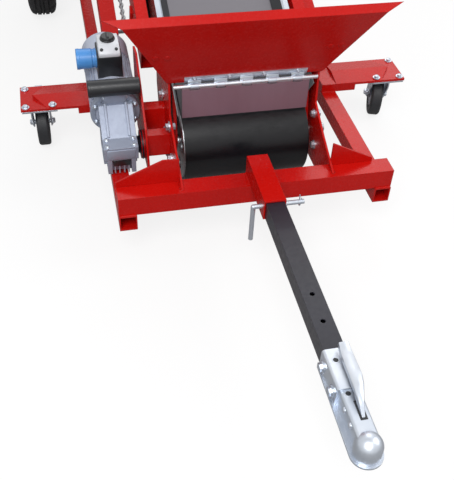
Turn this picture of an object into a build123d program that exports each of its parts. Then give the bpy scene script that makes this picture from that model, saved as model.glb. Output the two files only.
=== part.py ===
"""Mobile telescopic belt conveyor with feed plate, gearmotor, casters and ball coupling.

Units are mm. Z is up from the ground, Y runs along the conveyor from the drawbar to
the head, X runs across. Sizes measured from the beam's front face get beam_y added.
"""
import os
from math import acos, atan2, cos, degrees, hypot, radians, sin, tan
from build123d import *

os.makedirs("parts", exist_ok=True)

# tail drum and boom, s along the boom from the drum's axis, n above its centre line
hinge_back = 270            # drum axis behind the beam's front face
hinge_rise = 90             # drum axis above the skids' underside
incline = 22
drum_r = 112
belt_t = 8
belt_half = 186
drum_half = belt_half + 2
shaft_r = 20
running = 0.05              # radial clearance of a running fit
boom_len = 2960             # from tail drum axis to head drum axis
head_r = 52
head_n = drum_r - head_r    # head drum axis above the boom's centre line
belt_low = head_n - head_r - belt_t
snub_s = 396
snub_r = 30
rail_low = 33
rail_high = 133
rail_wall = 3
rail_start = 250
rail_end = boom_len + 45
cheek_in = belt_half + 10
cheek_out = cheek_in + 10
cheek_top = rail_high + 17
rail_in = cheek_out + 24
rail_out = rail_in + 38

# extension
ext_in = rail_out + 46
ext_out = ext_in + 50
ext_low = -96
ext_high = -16
ext_start = 430
ext_end = boom_len + 80
ext_belt_t = 6
ext_belt_half = rail_in
ext_roll_r = 38
ext_roll_n = -70
ext_tail_s = ext_start + 60
ext_head_s = ext_end - 20

# overall places: the machine is centred on its length
coupling_tip = 894          # from the beam's front face to the coupling's nose
lean_c = cos(radians(incline))
lean_s = sin(radians(incline))
head_reach = hinge_back + ext_head_s * lean_c - ext_roll_n * lean_s + ext_roll_r + ext_belt_t
beam_y = (coupling_tip - head_reach) / 2
skid_z = 125                # underside of the skid tubes above the ground
hinge_y = beam_y + hinge_back
hinge_z = skid_z + hinge_rise

# chassis tubes
wall_in = cheek_out + 10    # side plates
wall_out = wall_in + 6
beam_half = wall_out + 178
beam_size = 60
skid_size = 50
tube_wall = 4
skid_back = 653
skid_top = skid_z + skid_size
beam_top = skid_top + beam_size
rail_x = (beam_half - 33, beam_half + 7)   # chassis rails
rail_z = (skid_top + 5, skid_top + 55)

# axle, wheels and casters
lift_x = ext_out + 51
axle_back = 1600
axle_y = beam_y + axle_back
axle_z = 205
axle_size = 50
axle_half = lift_x + 35
stub_r = 15
tyre_half = 58
wheel_x = axle_half + tyre_half + 48
tyre_r = axle_z
rim_r = 112
rim_half = 50
caster_x = beam_half + 191
caster_y = beam_y + skid_back - 68
caster_trail = 48
caster_steer = {"left": 0, "right": -18}    # each fork's turn about its king pin, in degrees
caster_wheel_r = 80
caster_wheel_half = 20
arm_top = skid_top + 29
arm_t = 8
arm_in = beam_half - skid_size
arm_out = caster_x + 58
arm_back = beam_y + skid_back
arm_front = arm_back - 135

# lift cylinders on the axle, eye on the boom
lift_foot_y = axle_y
lift_foot_z = axle_z + 70
lift_s = axle_back - hinge_back
lift_n = 30
pin_r = 10
pin_head = 6
ear_gap = 20                # half the gap between a pair of ears
ear_t = 10
eye_half = ear_gap - 1
eye_r = 24
barrel_r = 32
rod_r = 18
barrel_len = 350
bore_start = 45
rod_start = 140

side = Plane.YZ
boom = Plane(
    origin=(0, hinge_y, hinge_z),
    x_dir=(0, lean_c, lean_s),
    z_dir=(1, 0, 0),
)


def boom_point(s, n):
    """Row Y and Z of a point on the boom, s along it and n above its centre line."""
    return hinge_y + s * lean_c - n * lean_s, hinge_z + s * lean_s + n * lean_c


def box(x, y, z, mode=Mode.ADD):
    """A block between pairs of X, Y and Z limits."""
    with Locations(((x[0] + x[1]) / 2, (y[0] + y[1]) / 2, (z[0] + z[1]) / 2)):
        Box(x[1] - x[0], y[1] - y[0], z[1] - z[0], mode=mode)


def span(sign, a, b):
    """X limits on one side, in rising order."""
    return (a, b) if sign > 0 else (-b, -a)


def plate(plane, x, outline, mode=Mode.ADD):
    """A flat plate of that outline between two X limits."""
    with BuildSketch(plane.offset(x[0])) as face:
        Polygon(*outline, align=None)
    extrude(face.sketch, amount=x[1] - x[0], mode=mode)


def bar(plane, x, s, n, r, mode=Mode.ADD):
    """A round bar along X at a point of that plane."""
    with BuildSketch(plane.offset(x[0])) as face:
        with Locations((s, n)):
            Circle(r)
    extrude(face.sketch, amount=x[1] - x[0], mode=mode)


def roller(plane, x, s, n, r, wall, axle_x, axle_r):
    """A hollow drum along X with pierced end discs and a through shaft."""
    bar(plane, x, s, n, r)
    bar(plane, x, s, n, r - wall, Mode.SUBTRACT)
    for end in (x[0], x[1] - wall):
        bar(plane, (end, end + wall), s, n, r - wall)
    for turn in (45, 135, 225, 315):
        reach = (r + axle_r) / 2
        hole_s = s + reach * cos(radians(turn))
        hole_n = n + reach * sin(radians(turn))
        bar(plane, x, hole_s, hole_n, (r - wall - axle_r) / 4, Mode.SUBTRACT)
    bar(plane, axle_x, s, n, axle_r)


def keep(made, label, turn=None):
    """Name the piece, turned about a pivot where one is given, and write it out."""
    piece = made.part if turn is None else turn * made.part
    piece.label = label
    export_step(piece, f"parts/{label}.step")


SIDES = (("left", -1), ("right", 1))

# chassis: cross beam, skids, gussets and side plates
with BuildPart() as cross_beam:
    box((-beam_half, beam_half), (beam_y, beam_y + beam_size), (skid_top, beam_top))
    box(
        (-beam_half, beam_half),
        (beam_y + tube_wall, beam_y + beam_size - tube_wall),
        (skid_top + tube_wall, beam_top - tube_wall),
        Mode.SUBTRACT,
    )
keep(cross_beam, "cross_beam")

plate_lean = 22.8
plate_t = 3
plate_low = 440
plate_high = 662
plate_y = beam_y + 232      # front face of the feed plate at its lower edge


def behind_plate(z):
    """Y of the feed plate's back face at that height."""
    lean = radians(plate_lean)
    return plate_y + plate_t / cos(lean) - (z - plate_low) * tan(lean)


gussets = {                 # upper edge of each corner plate: X from the middle, rise on the beam
    "left": ((beam_half, 16), (wall_out + 45, 76), (wall_out, 74)),
    "right": ((beam_half - skid_size, 12), (wall_out + 2, 75), (wall_out, 74)),
}
beam_rise = beam_top - skid_z
foot_rise = beam_rise - 85
side_profile = (
    (13, beam_rise), (128, beam_rise + 50), (plate_y - beam_y - 5, 213),
    (behind_plate(plate_low - 4) - beam_y, plate_low - skid_z - 4),
    (behind_plate(plate_low + 50) - beam_y, plate_low - skid_z + 50),
    (248, plate_low - skid_z + 50), (330, 305), (470, 267), (470, 175),
    (400, foot_rise), (beam_size, foot_rise), (beam_size, beam_rise),
)
for name, sign in SIDES:
    with BuildPart() as skid:
        x_out = span(sign, beam_half - skid_size, beam_half)
        box(x_out, (beam_y - 5, beam_y + skid_back), (skid_z, skid_top))
        x_in = span(sign, beam_half - skid_size + tube_wall, beam_half - tube_wall)
        box(
            x_in,
            (beam_y - 5, beam_y + skid_back),
            (skid_z + tube_wall, skid_top - tube_wall),
            Mode.SUBTRACT,
        )
    keep(skid, f"skid_{name}")
    with BuildPart() as gusset:
        with BuildSketch(Plane.XZ.offset(-(beam_y + beam_size))):
            edge = gussets[name]
            outline = ((edge[0][0], 0), *edge, (wall_out, 0))
            Polygon(*[(sign * x, beam_top + z) for x, z in outline], align=None)
        extrude(amount=6)
    keep(gusset, f"gusset_{name}")
    with BuildPart() as side_plate:
        x_wall = span(sign, wall_in, wall_out)
        plate(side, x_wall, [(beam_y + y, skid_z + z) for y, z in side_profile])
        bar(side, x_wall, hinge_y, hinge_z, shaft_r + running, Mode.SUBTRACT)
    keep(side_plate, f"side_plate_{name}")

# hitch: socket, drawbar, pin, coupling and its lever
drawbar_half = 25
drawbar_play = 0.4
socket_wall = 4.6
socket_half = drawbar_half + drawbar_play + socket_wall
drawbar_low = beam_top + 5
drawbar_top = drawbar_low + 2 * drawbar_half
drawbar_mid = drawbar_low + drawbar_half
drawbar_y = (beam_y - 690, beam_y + 40)
socket_y = (beam_y - 141, beam_y + beam_size)
pin_y = beam_y - 125
pin_z = beam_top + 34
hitch_pin_r = 6.5
pin_left = -55
pin_right = 85
bolt_hole_r = 6
hole_ys = (beam_y - 469, beam_y - 552)
slide_half = drawbar_half + drawbar_play
x_socket = (-socket_half, socket_half)
with BuildPart() as hitch_socket:
    box(x_socket, socket_y, (beam_top, drawbar_top + 5))
    box((-slide_half, slide_half), socket_y, (drawbar_low, drawbar_top + drawbar_play), Mode.SUBTRACT)
    bar(side, x_socket, pin_y, pin_z, hitch_pin_r + running, Mode.SUBTRACT)
keep(hitch_socket, "hitch_socket")

hollow = drawbar_half - tube_wall
with BuildPart() as drawbar:
    box((-drawbar_half, drawbar_half), drawbar_y, (drawbar_low, drawbar_top))
    box((-hollow, hollow), drawbar_y, (drawbar_mid - hollow, drawbar_mid + hollow), Mode.SUBTRACT)
    bar(side, x_socket, pin_y, pin_z, hitch_pin_r + running, Mode.SUBTRACT)
    with Locations(*[(0, y, drawbar_mid) for y in hole_ys]):
        Cylinder(bolt_hole_r, 2 * drawbar_half + 10, mode=Mode.SUBTRACT)
keep(drawbar, "drawbar")

pin_drop = 116
with BuildPart() as hitch_pin:
    bar(side, (pin_left, pin_right), pin_y, pin_z, hitch_pin_r)
    with Locations((pin_left, pin_y, pin_z - pin_drop / 2)):
        Cylinder(hitch_pin_r, pin_drop)
    with Locations((pin_left, pin_y, pin_z)):
        Sphere(hitch_pin_r)
keep(hitch_pin, "hitch_pin")

ball_r = 25
cup_r = ball_r + 6
ball_y = beam_y - 858
ball_z = drawbar_low + 25
nose_r = ball_y - (beam_y - coupling_tip)
flange_t = 5
flange_half = 33           # at the sleeve's open end
sleeve_half = drawbar_half + 4
sleeve_y = (beam_y - 738, beam_y - 633)
neck_half = 23
neck_top = drawbar_top - 3
cup_top = ball_z + cup_r
sleeve_top = drawbar_top + 4
with BuildPart() as ball_coupling:
    box((-sleeve_half, sleeve_half), sleeve_y, (drawbar_low - flange_t, sleeve_top))
    fillet(ball_coupling.faces().sort_by(Axis.Z)[-1].edges().filter_by(Axis.Y), 7)
    box((-neck_half, neck_half), (ball_y, sleeve_y[0]), (drawbar_low - flange_t, neck_top))
    fillet(ball_coupling.edges().filter_by(Axis.Y).group_by(Axis.Z)[-2], 7)
    with Locations((0, ball_y, ball_z)):
        Sphere(cup_r)
    with Locations((0, ball_y, (ball_z + drawbar_low - flange_t) / 2)):
        Cylinder(cup_r, ball_z - drawbar_low + flange_t)
    with BuildSketch(Plane.XY.offset(drawbar_low - flange_t)):
        with BuildLine():
            Polyline(
                (-nose_r, ball_y), (-flange_half, sleeve_y[1]), (flange_half, sleeve_y[1]), (nose_r, ball_y),
            )
            ThreePointArc((nose_r, ball_y), (0, ball_y - nose_r), (-nose_r, ball_y))
        make_face()
    extrude(amount=flange_t)
    fit = drawbar_half + 0.2
    box(
        (-fit, fit),
        (drawbar_y[0] - 10, sleeve_y[1]),
        (drawbar_low - flange_t, drawbar_top + 0.2),
        Mode.SUBTRACT,
    )
    inner = neck_half - 5
    box((-inner, inner), (ball_y, drawbar_y[0]), (drawbar_low - flange_t, neck_top - 6), Mode.SUBTRACT)
    with Locations((0, ball_y, ball_z)):
        Sphere(ball_r + 0.3, mode=Mode.SUBTRACT)
    with Locations((0, ball_y, ball_z - 20)):
        Cylinder(ball_r + 0.3, 40, mode=Mode.SUBTRACT)
keep(ball_coupling, "ball_coupling")

lever_profile = (
    (805, neck_top - sleeve_top), (800, 10), (760, 18), (680, 24), (640, 34),
    (634, 28), (676, 12), (740, 2), (760, 0), (768, neck_top - sleeve_top),
)
with BuildPart() as coupling_handle:
    plate(side, (15, 37), [(beam_y - y, sleeve_top + z) for y, z in lever_profile])
keep(coupling_handle, "coupling_handle")

# caster arms, chassis rails and axle
roof_rise = 12
roof_x = (caster_x - 26, caster_x + 19)    # where the roof's edges end and where its point ends
for name, sign in SIDES:
    with BuildPart() as arm:
        box(span(sign, arm_in, arm_out), (arm_front, arm_back), (arm_top - arm_t, arm_top))
        box(span(sign, arm_in, beam_half + 70), (arm_front, arm_back), (skid_top, arm_top - arm_t))
        plate(
            side,
            span(sign, beam_half, roof_x[1]),
            [(arm_front, arm_top), (caster_y, arm_top + roof_rise), (arm_back, arm_top)],
        )
        for edge_y in (arm_front, arm_back):
            with BuildSketch(Plane.XY.offset(arm_top)):
                Polygon(
                    (sign * roof_x[0], edge_y), (sign * roof_x[1], edge_y), (sign * roof_x[1], caster_y),
                    align=None,
                )
            extrude(amount=roof_rise, mode=Mode.SUBTRACT)
    keep(arm, f"caster_arm_{name}")
    rail_y = (arm_back, axle_y - axle_size / 2)
    with BuildPart() as chassis_rail:
        box(span(sign, *rail_x), rail_y, rail_z)
        x_hollow = span(sign, rail_x[0] + tube_wall, rail_x[1] - tube_wall)
        box(x_hollow, rail_y, (rail_z[0] + tube_wall, rail_z[1] - tube_wall), Mode.SUBTRACT)
    keep(chassis_rail, f"chassis_rail_{name}")

half = axle_size / 2
with BuildPart() as axle:
    box((-axle_half, axle_half), (axle_y - half, axle_y + half), (axle_z - half, axle_z + half))
    for name, sign in SIDES:
        bar(side, span(sign, axle_half, wheel_x + rim_half), axle_y, axle_z, stub_r)
        for ear_x in (lift_x - ear_gap - ear_t, lift_x + ear_gap):
            plate(
                side,
                span(sign, ear_x, ear_x + ear_t),
                [
                    (axle_y - half, axle_z + half), (axle_y + half, axle_z + half),
                    (lift_foot_y + 18, lift_foot_z + 18), (lift_foot_y - 18, lift_foot_z + 18),
                    (lift_foot_y - 18, lift_foot_z - 18),
                ],
            )
        reach = ear_gap + ear_t + pin_head
        bar(side, span(sign, lift_x - reach, lift_x + reach), lift_foot_y, lift_foot_z, pin_r)
keep(axle, "axle")

# casters: mount with its race and king pin, fork with brake pedal, wheel
mount_t = 6
mount_half = (55, 67)
race_r = 30
race_t = 10
king_r = 12
fork_t = 6
fork_in = caster_wheel_half + 7
fork_out = fork_in + 4
hub_r = 8
mount_low = arm_top - arm_t - mount_t
race_low = mount_low - race_t
fork_top = race_low - 2
fork_low = fork_top - fork_t
for name, sign in SIDES:
    wheel_y = caster_y + caster_trail
    middle = sign * caster_x
    x_wheel = (middle - caster_wheel_half, middle + caster_wheel_half)
    steer = Pos(middle, caster_y, 0) * Rot(0, 0, caster_steer[name]) * Pos(-middle, -caster_y, 0)
    with BuildPart() as mount:
        box(
            (middle - mount_half[0], middle + mount_half[0]),
            (caster_y - mount_half[1], caster_y + mount_half[1]),
            (mount_low, mount_low + mount_t),
        )
        with Locations((middle, caster_y, mount_low - race_t / 2)):
            Cylinder(race_r, race_t)
        with Locations((middle, caster_y, race_low - 6)):
            Cylinder(king_r, 2 * race_t + 4)
    keep(mount, f"caster_mount_{name}")
    with BuildPart() as fork:
        with Locations((middle, caster_y, fork_top - fork_t / 2)):
            Cylinder(race_r + 8, fork_t)
        box((middle - fork_out, middle + fork_out), (caster_y - 36, caster_y + 36), (fork_low, fork_top))
        for x_cheek in ((middle - fork_out, middle - fork_in), (middle + fork_in, middle + fork_out)):
            plate(
                side,
                x_cheek,
                [
                    (caster_y - 36, fork_top), (caster_y + 36, fork_top),
                    (wheel_y + 20, caster_wheel_r - 2), (wheel_y + 8, caster_wheel_r - 18),
                    (wheel_y - 10, caster_wheel_r - 14), (caster_y - 32, fork_low - 22),
                ],
            )
        plate(
            side,
            (middle - 12, middle + 12),
            [
                (caster_y + 30, fork_low), (caster_y + 30, fork_top), (caster_y + 106, fork_top + 6),
                (caster_y + 112, fork_top), (caster_y + 60, fork_low + 2),
            ],
        )
        with Locations((middle, caster_y, fork_top - fork_t / 2)):
            Cylinder(king_r + running, 20, mode=Mode.SUBTRACT)
        bar(side, (middle - fork_out - 3, middle + fork_out + 3), wheel_y, caster_wheel_r, hub_r)
    keep(fork, f"caster_fork_{name}", steer)
    with BuildPart() as caster_wheel:
        bar(side, x_wheel, wheel_y, caster_wheel_r, caster_wheel_r)
        fillet(caster_wheel.edges().filter_by(GeomType.CIRCLE), 9)
        for x_dish in ((x_wheel[0], x_wheel[0] + 6), (x_wheel[1] - 6, x_wheel[1])):
            bar(side, x_dish, wheel_y, caster_wheel_r, 56, Mode.SUBTRACT)
            bar(side, x_dish, wheel_y, caster_wheel_r, 20)
        bar(side, x_wheel, wheel_y, caster_wheel_r, hub_r + running, Mode.SUBTRACT)
    keep(caster_wheel, f"caster_wheel_{name}", steer)
    with BuildPart() as rim:
        x_hub = span(sign, wheel_x - rim_half + 10, wheel_x + rim_half - 10)
        bar(side, span(sign, wheel_x - rim_half, wheel_x + rim_half), axle_y, axle_z, rim_r)
        bar(side, span(sign, wheel_x + 12, wheel_x + rim_half), axle_y, axle_z, rim_r - 10, Mode.SUBTRACT)
        bar(side, span(sign, wheel_x - rim_half, wheel_x + 6), axle_y, axle_z, rim_r - 10, Mode.SUBTRACT)
        bar(side, x_hub, axle_y, axle_z, 32)
        bar(side, x_hub, axle_y, axle_z, stub_r + running, Mode.SUBTRACT)
    keep(rim, f"wheel_rim_{name}")
    with BuildPart() as tyre:
        with BuildSketch(Plane.XY.offset(0)):
            with Locations((sign * wheel_x, axle_y + (tyre_r + rim_r) / 2)):
                RectangleRounded(2 * tyre_half, tyre_r - rim_r, 28)
        revolve(axis=Axis((0, axle_y, 0), (1, 0, 0)))
    tyre.part.position = (0, 0, axle_z)
    keep(tyre, f"tyre_{name}")

# tail drum with its shaft through the gearbox, head drum and base belt
gear_x = -wall_out - 146
gear_half = 49
with BuildPart() as tail_drum:
    roller(boom, (-drum_half, drum_half), 0, 0, drum_r, 8, (gear_x - gear_half + 3, wall_out + 28), shaft_r)
keep(tail_drum, "tail_drum")

with BuildPart() as head_drum:
    roller(boom, (-drum_half, drum_half), boom_len, head_n, head_r, 6, (-rail_in, rail_in), 15)
keep(head_drum, "head_drum")


def loop(plane, x, tail, head, lower):
    """A belt: outline round two drums with its lower strand through one point."""
    (ts, tn, tr), (hs, hn, hr) = tail, head
    ls, ln = lower
    gap = atan2(ln - tn, ls - ts)
    touch = gap - acos(tr / hypot(ls - ts, ln - tn))
    with BuildSketch(plane.offset(x[0])) as face:
        with BuildLine():
            low = (ts + tr * cos(touch), tn + tr * sin(touch))
            Line((ts, tn + tr), (hs, hn + hr))
            ThreePointArc((hs, hn + hr), (hs + hr, hn), (hs, hn - hr))
            Line((hs, hn - hr), (ls, ln))
            Line((ls, ln), low)
            ThreePointArc(low, (ts - tr, tn), (ts, tn + tr))
        make_face()
    extrude(face.sketch, amount=x[1] - x[0])


with BuildPart() as belt_core:
    loop(
        boom,
        (-belt_half - 5, belt_half + 5),
        (0, 0, drum_r),
        (boom_len, head_n, head_r),
        (snub_s - 6.6, belt_low + belt_t),
    )
with BuildPart() as base_belt:
    loop(
        boom,
        (-belt_half, belt_half),
        (0, 0, drum_r + belt_t),
        (boom_len, head_n, head_r + belt_t),
        (snub_s - 4.6, belt_low),
    )
    add(belt_core.part, mode=Mode.SUBTRACT)
keep(base_belt, "base_belt")

bed_t = 4
bed_n = drum_r - 1 - bed_t
# boom frame: rails, cheeks, cross ties, slide shoes, lift outriggers
shoe_s = ((boom_len / 2, boom_len / 2 + 120), (boom_len - 180, boom_len - 60))
shoe_gap = 0.3              # running gap under the extension's rails
shoe_t = 12
shoe_in = ext_out + 6
shoe_low = ext_low - shoe_gap
arm_n = (84, 124)           # lift outriggers
arm_s = (lift_s - 25, lift_s + 25)
tie_size = 40
tie_places = (760, 1300, 1960, boom_len - 460)


def slab(x, s, n, mode=Mode.ADD):
    """A block on the boom between pairs of X, s and n limits."""
    plate(boom, x, [(s[0], n[0]), (s[1], n[0]), (s[1], n[1]), (s[0], n[1])], mode)


with BuildPart() as boom_frame:
    for name, sign in SIDES:
        rail_s = (rail_start, rail_end)
        slab(span(sign, rail_in, rail_out), rail_s, (rail_low, rail_high))
        x_hollow = span(sign, rail_in + rail_wall, rail_out - rail_wall)
        slab(x_hollow, rail_s, (rail_low + rail_wall, rail_high - rail_wall), Mode.SUBTRACT)
        plate(
            boom,
            span(sign, cheek_in, cheek_out),
            [
                (-30, -30), (60, -34), (560, rail_low), (1000, rail_low), (1000, cheek_top),
                (60, cheek_top), (-30, 34),
            ],
        )
        slab(span(sign, cheek_in, rail_in), (620, 700), (rail_low, bed_n))
        bar(boom, span(sign, cheek_in, cheek_out), 0, 0, shaft_r + running, Mode.SUBTRACT)
        for shoe in shoe_s:
            slab(span(sign, rail_out, shoe_in + shoe_t), shoe, (0, shoe_t))
            slab(span(sign, rail_out, rail_out + shoe_t), shoe, (shoe_t, rail_high - 40))
            slab(span(sign, shoe_in, shoe_in + shoe_t), shoe, (shoe_low - shoe_t, 0))
            slab(span(sign, shoe_in - 30, shoe_in), shoe, (shoe_low - shoe_t, shoe_low))
        slab(span(sign, rail_out, lift_x + ear_gap + ear_t + 13), arm_s, arm_n)
        for ear_x in (lift_x - ear_gap - ear_t, lift_x + ear_gap):
            plate(
                boom,
                span(sign, ear_x, ear_x + ear_t),
                [
                    (arm_s[0], arm_n[0]), (lift_s - 22, lift_n - 18), (lift_s + 22, lift_n - 18),
                    (arm_s[1], arm_n[0]),
                ],
            )
        for pin_x in (lift_x - ear_gap - ear_t - pin_head, lift_x + ear_gap):
            bar(boom, span(sign, pin_x, pin_x + ear_t + pin_head), lift_s, lift_n, pin_r)
    for tie_s in tie_places:
        slab((-rail_in, rail_in), (tie_s, tie_s + tie_size), (bed_n - tie_size, bed_n))
keep(boom_frame, "boom_frame")

with BuildPart() as belt_bed:
    plate(
        boom,
        (-cheek_in, cheek_in),
        [(160, bed_n), (boom_len - 90, bed_n), (boom_len - 90, bed_n + bed_t), (160, bed_n + bed_t)],
    )
keep(belt_bed, "belt_bed")

with BuildPart() as snub_roller:
    bar(boom, (-cheek_in, cheek_in), snub_s, belt_low - snub_r - 0.1, snub_r)
keep(snub_roller, "snub_roller")

# feed plate with its lip, hinge leaf, rod and rubber flap
flap_y = beam_y + 221
flap_z = skid_z + 307
plate_face = Plane(
    origin=(0, plate_y, plate_low),
    x_dir=(1, 0, 0),
    z_dir=(0, -cos(radians(plate_lean)), -sin(radians(plate_lean))),
)
plate_rise = (plate_high - plate_low) / cos(radians(plate_lean))
plate_half = (wall_out + 4, 350)     # half widths at the lower edge and at the fold
lip = 25
lip_half = 397
fold_y = plate_y - (plate_high - plate_low) * tan(radians(plate_lean))
lip_face = Plane(
    origin=(0, fold_y, plate_high),
    x_dir=(1, 0, 0),
    z_dir=(0, -sin(radians(45)), sin(radians(45))),
)
with BuildPart() as feed_plate:
    with BuildSketch(plate_face):
        Polygon(
            (-plate_half[0], 0), (plate_half[0], 0), (plate_half[1], plate_rise), (-plate_half[1], plate_rise),
            align=None,
        )
    extrude(amount=-plate_t)
    with BuildSketch(lip_face):
        Polygon(
            (-plate_half[1], 0), (plate_half[1], 0), (lip_half, lip), (-lip_half, lip), align=None,
        )
    extrude(amount=-plate_t)
keep(feed_plate, "feed_plate")

flap_rod_r = 6
leaf_t = 2.5
leaf_rise = 24
knuckle_r = 9
knuckle_half = 12
knuckle_xs = (-150, -75, 0, 75, 150)
with BuildPart() as hinge_leaf:
    with BuildSketch(plate_face):
        with Locations((0, leaf_rise / 2 - 1)):
            Rectangle(2 * belt_half - 16, leaf_rise + 2)
    extrude(amount=leaf_t)
    for x in knuckle_xs:
        limits = (x - knuckle_half, x + knuckle_half)
        bar(side, limits, flap_y, flap_z, knuckle_r)
        plate(
            side,
            limits,
            [
                (flap_y, flap_z + 3), (flap_y, flap_z + 9),
                (plate_y - 1, plate_low + 4), (plate_y - 1, plate_low),
            ],
        )
        bar(side, limits, flap_y, flap_z, flap_rod_r + running, Mode.SUBTRACT)
    with BuildSketch(plate_face):
        with Locations((0, plate_rise / 2)):
            Rectangle(400, plate_rise)
    extrude(amount=-plate_t, mode=Mode.SUBTRACT)
keep(hinge_leaf, "hinge_leaf")

with BuildPart() as feed_flap:
    box((-belt_half, belt_half), (flap_y - 4, flap_y + 1), (hinge_z + drum_r + 4, flap_z))
    for x in knuckle_xs:
        box(
            (x - knuckle_half - 2, x + knuckle_half + 2),
            (flap_y - 5, flap_y + 2),
            (flap_z - knuckle_r - 2, flap_z),
            Mode.SUBTRACT,
        )
    bar(side, (6 - wall_in, wall_in - 6), flap_y, flap_z, flap_rod_r)
keep(feed_flap, "feed_flap")

# extension: frame, belt and rollers
ext_ties = (ext_start + 350, 1500, 2200, ext_end - 180)
with BuildPart() as extension_frame:
    for name, sign in SIDES:
        ext_s = (ext_start, ext_end)
        slab(span(sign, ext_in, ext_out), ext_s, (ext_low, ext_high))
        x_hollow = span(sign, ext_in + rail_wall, ext_out - rail_wall)
        slab(x_hollow, ext_s, (ext_low + rail_wall, ext_high - rail_wall), Mode.SUBTRACT)
    for tie_s in ext_ties:
        slab((-ext_in, ext_in), (tie_s, tie_s + 30), (ext_roll_n - 15, ext_roll_n + 15))
keep(extension_frame, "extension_frame")

for name, roll_s in (("extension_tail_roller", ext_tail_s), ("extension_head_roller", ext_head_s)):
    with BuildPart() as ext_roller:
        x_roll = (-ext_belt_half - 2, ext_belt_half + 2)
        roller(boom, x_roll, roll_s, ext_roll_n, ext_roll_r, 5, (-ext_in, ext_in), 12)
    keep(ext_roller, name)

with BuildPart() as extension_belt:
    for reach, mode in ((ext_roll_r + ext_belt_t, Mode.ADD), (ext_roll_r, Mode.SUBTRACT)):
        with BuildSketch(boom.offset(-ext_belt_half)):
            with Locations(((ext_tail_s + ext_head_s) / 2, ext_roll_n)):
                SlotCenterToCenter(ext_head_s - ext_tail_s, 2 * reach)
        extrude(amount=2 * ext_belt_half, mode=mode)
keep(extension_belt, "extension_belt")

# lift cylinders
eye_y, eye_z = boom_point(lift_s, lift_n)
lift_len = hypot(eye_y - lift_foot_y, eye_z - lift_foot_z)
lift_tilt = degrees(atan2(eye_z - lift_foot_z, eye_y - lift_foot_y))
lift = Plane(
    origin=(0, lift_foot_y, lift_foot_z),
    x_dir=(0, cos(radians(lift_tilt)), sin(radians(lift_tilt))),
    z_dir=(1, 0, 0),
)
lift_along = Plane(
    origin=(0, lift_foot_y, lift_foot_z),
    x_dir=(1, 0, 0),
    z_dir=(0, cos(radians(lift_tilt)), sin(radians(lift_tilt))),
)
for name, sign in SIDES:
    x_eye = span(sign, lift_x - eye_half, lift_x + eye_half)
    with BuildPart() as barrel:
        with BuildSketch(lift_along.offset(bore_start - 10)):
            with Locations((sign * lift_x, 0)):
                Circle(barrel_r)
        extrude(amount=barrel_len - bore_start + 10)
        bar(lift, x_eye, 0, 0, eye_r)
        plate(lift, x_eye, [(0, -18), (bore_start - 5, -18), (bore_start - 5, 18), (0, 18)])
        bar(lift, x_eye, 0, 0, pin_r + running, Mode.SUBTRACT)
        with BuildSketch(lift_along.offset(bore_start)):
            with Locations((sign * lift_x, 0)):
                Circle(rod_r + running)
        extrude(amount=barrel_len, mode=Mode.SUBTRACT)
    keep(barrel, f"lift_barrel_{name}")
    with BuildPart() as rod:
        with BuildSketch(lift_along.offset(rod_start)):
            with Locations((sign * lift_x, 0)):
                Circle(rod_r)
        extrude(amount=lift_len - rod_start - eye_r / 2)
        bar(lift, x_eye, lift_len, 0, eye_r)
    keep(rod, f"lift_rod_{name}")

# gearmotor, drive plate and switchgear on the left, in a plane that leans back a little
gear_lean = radians(6)
gear = Plane(
    origin=(0, hinge_y, hinge_z),
    x_dir=(0, cos(gear_lean), sin(gear_lean)),
    z_dir=(1, 0, 0),
)
drive_x = (-wall_out - 72, -wall_out - 66)
drive_profile = (
    (168, 55), (176, 87), (216, 177), (301, 257), (387, 327), (450, 315), (420, 55),
)
hub_disc_r = 43
hub_t = 10
with BuildPart() as drive_plate:
    plate(side, drive_x, [(beam_y + y, skid_z + z) for y, z in drive_profile])
    bar(side, drive_x, hinge_y, hinge_z, shaft_r + running, Mode.SUBTRACT)
    x_bridge = (drive_x[1], -wall_out)
    box(x_bridge, (hinge_y - 58, hinge_y - 24), (hinge_z - 4, hinge_z + 68))
    box(x_bridge, (hinge_y + 30, hinge_y + 70), (hinge_z + 18, hinge_z + 100))
    bar(side, (drive_x[0] - hub_t, drive_x[0]), hinge_y, hinge_z, hub_disc_r)
    bar(side, (drive_x[0] - hub_t, drive_x[0]), hinge_y, hinge_z, shaft_r + running, Mode.SUBTRACT)
keep(drive_plate, "drive_plate")

gear_s = (-88, 48)
gear_n = (-26, 70)
motor_n = 90
motor_r = 66
cover_r = 72
fin_xs = (-20, -7, 7, 20)
with BuildPart() as gearbox:
    plate(
        gear,
        (gear_x - gear_half, gear_x + gear_half),
        [
            (gear_s[0], gear_n[0]), (gear_s[0], gear_n[1]), (-46, gear_n[1] + 2),
            (gear_s[1] - 16, motor_n + 40), (gear_s[1], motor_n + 40), (gear_s[1], gear_n[0]),
        ],
    )
    for x_step in ((gear_x - gear_half, gear_x - 41), (gear_x + 41, gear_x + gear_half)):
        plate(gear, x_step, [(-88, -26), (-44, -26), (-44, 22), (-88, 26)], Mode.SUBTRACT)
    plate(gear, (gear_x - 28, gear_x + 28), [(-88, -26), (-72, -26), (-72, 20), (-88, 26)], Mode.SUBTRACT)
    for x in fin_xs:
        plate(gear, (gear_x + x - 2, gear_x + x + 2), [(-87, -26), (-72, -26), (-72, 20), (-87, 24)])
    bar(gear, (gear_x + gear_half, drive_x[0] - hub_t - 8), 0, 0, shaft_r + 9)
    bar(gear, (gear_x - gear_half, drive_x[0]), 0, 0, shaft_r + running, Mode.SUBTRACT)
keep(gearbox, "gearbox")

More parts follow.
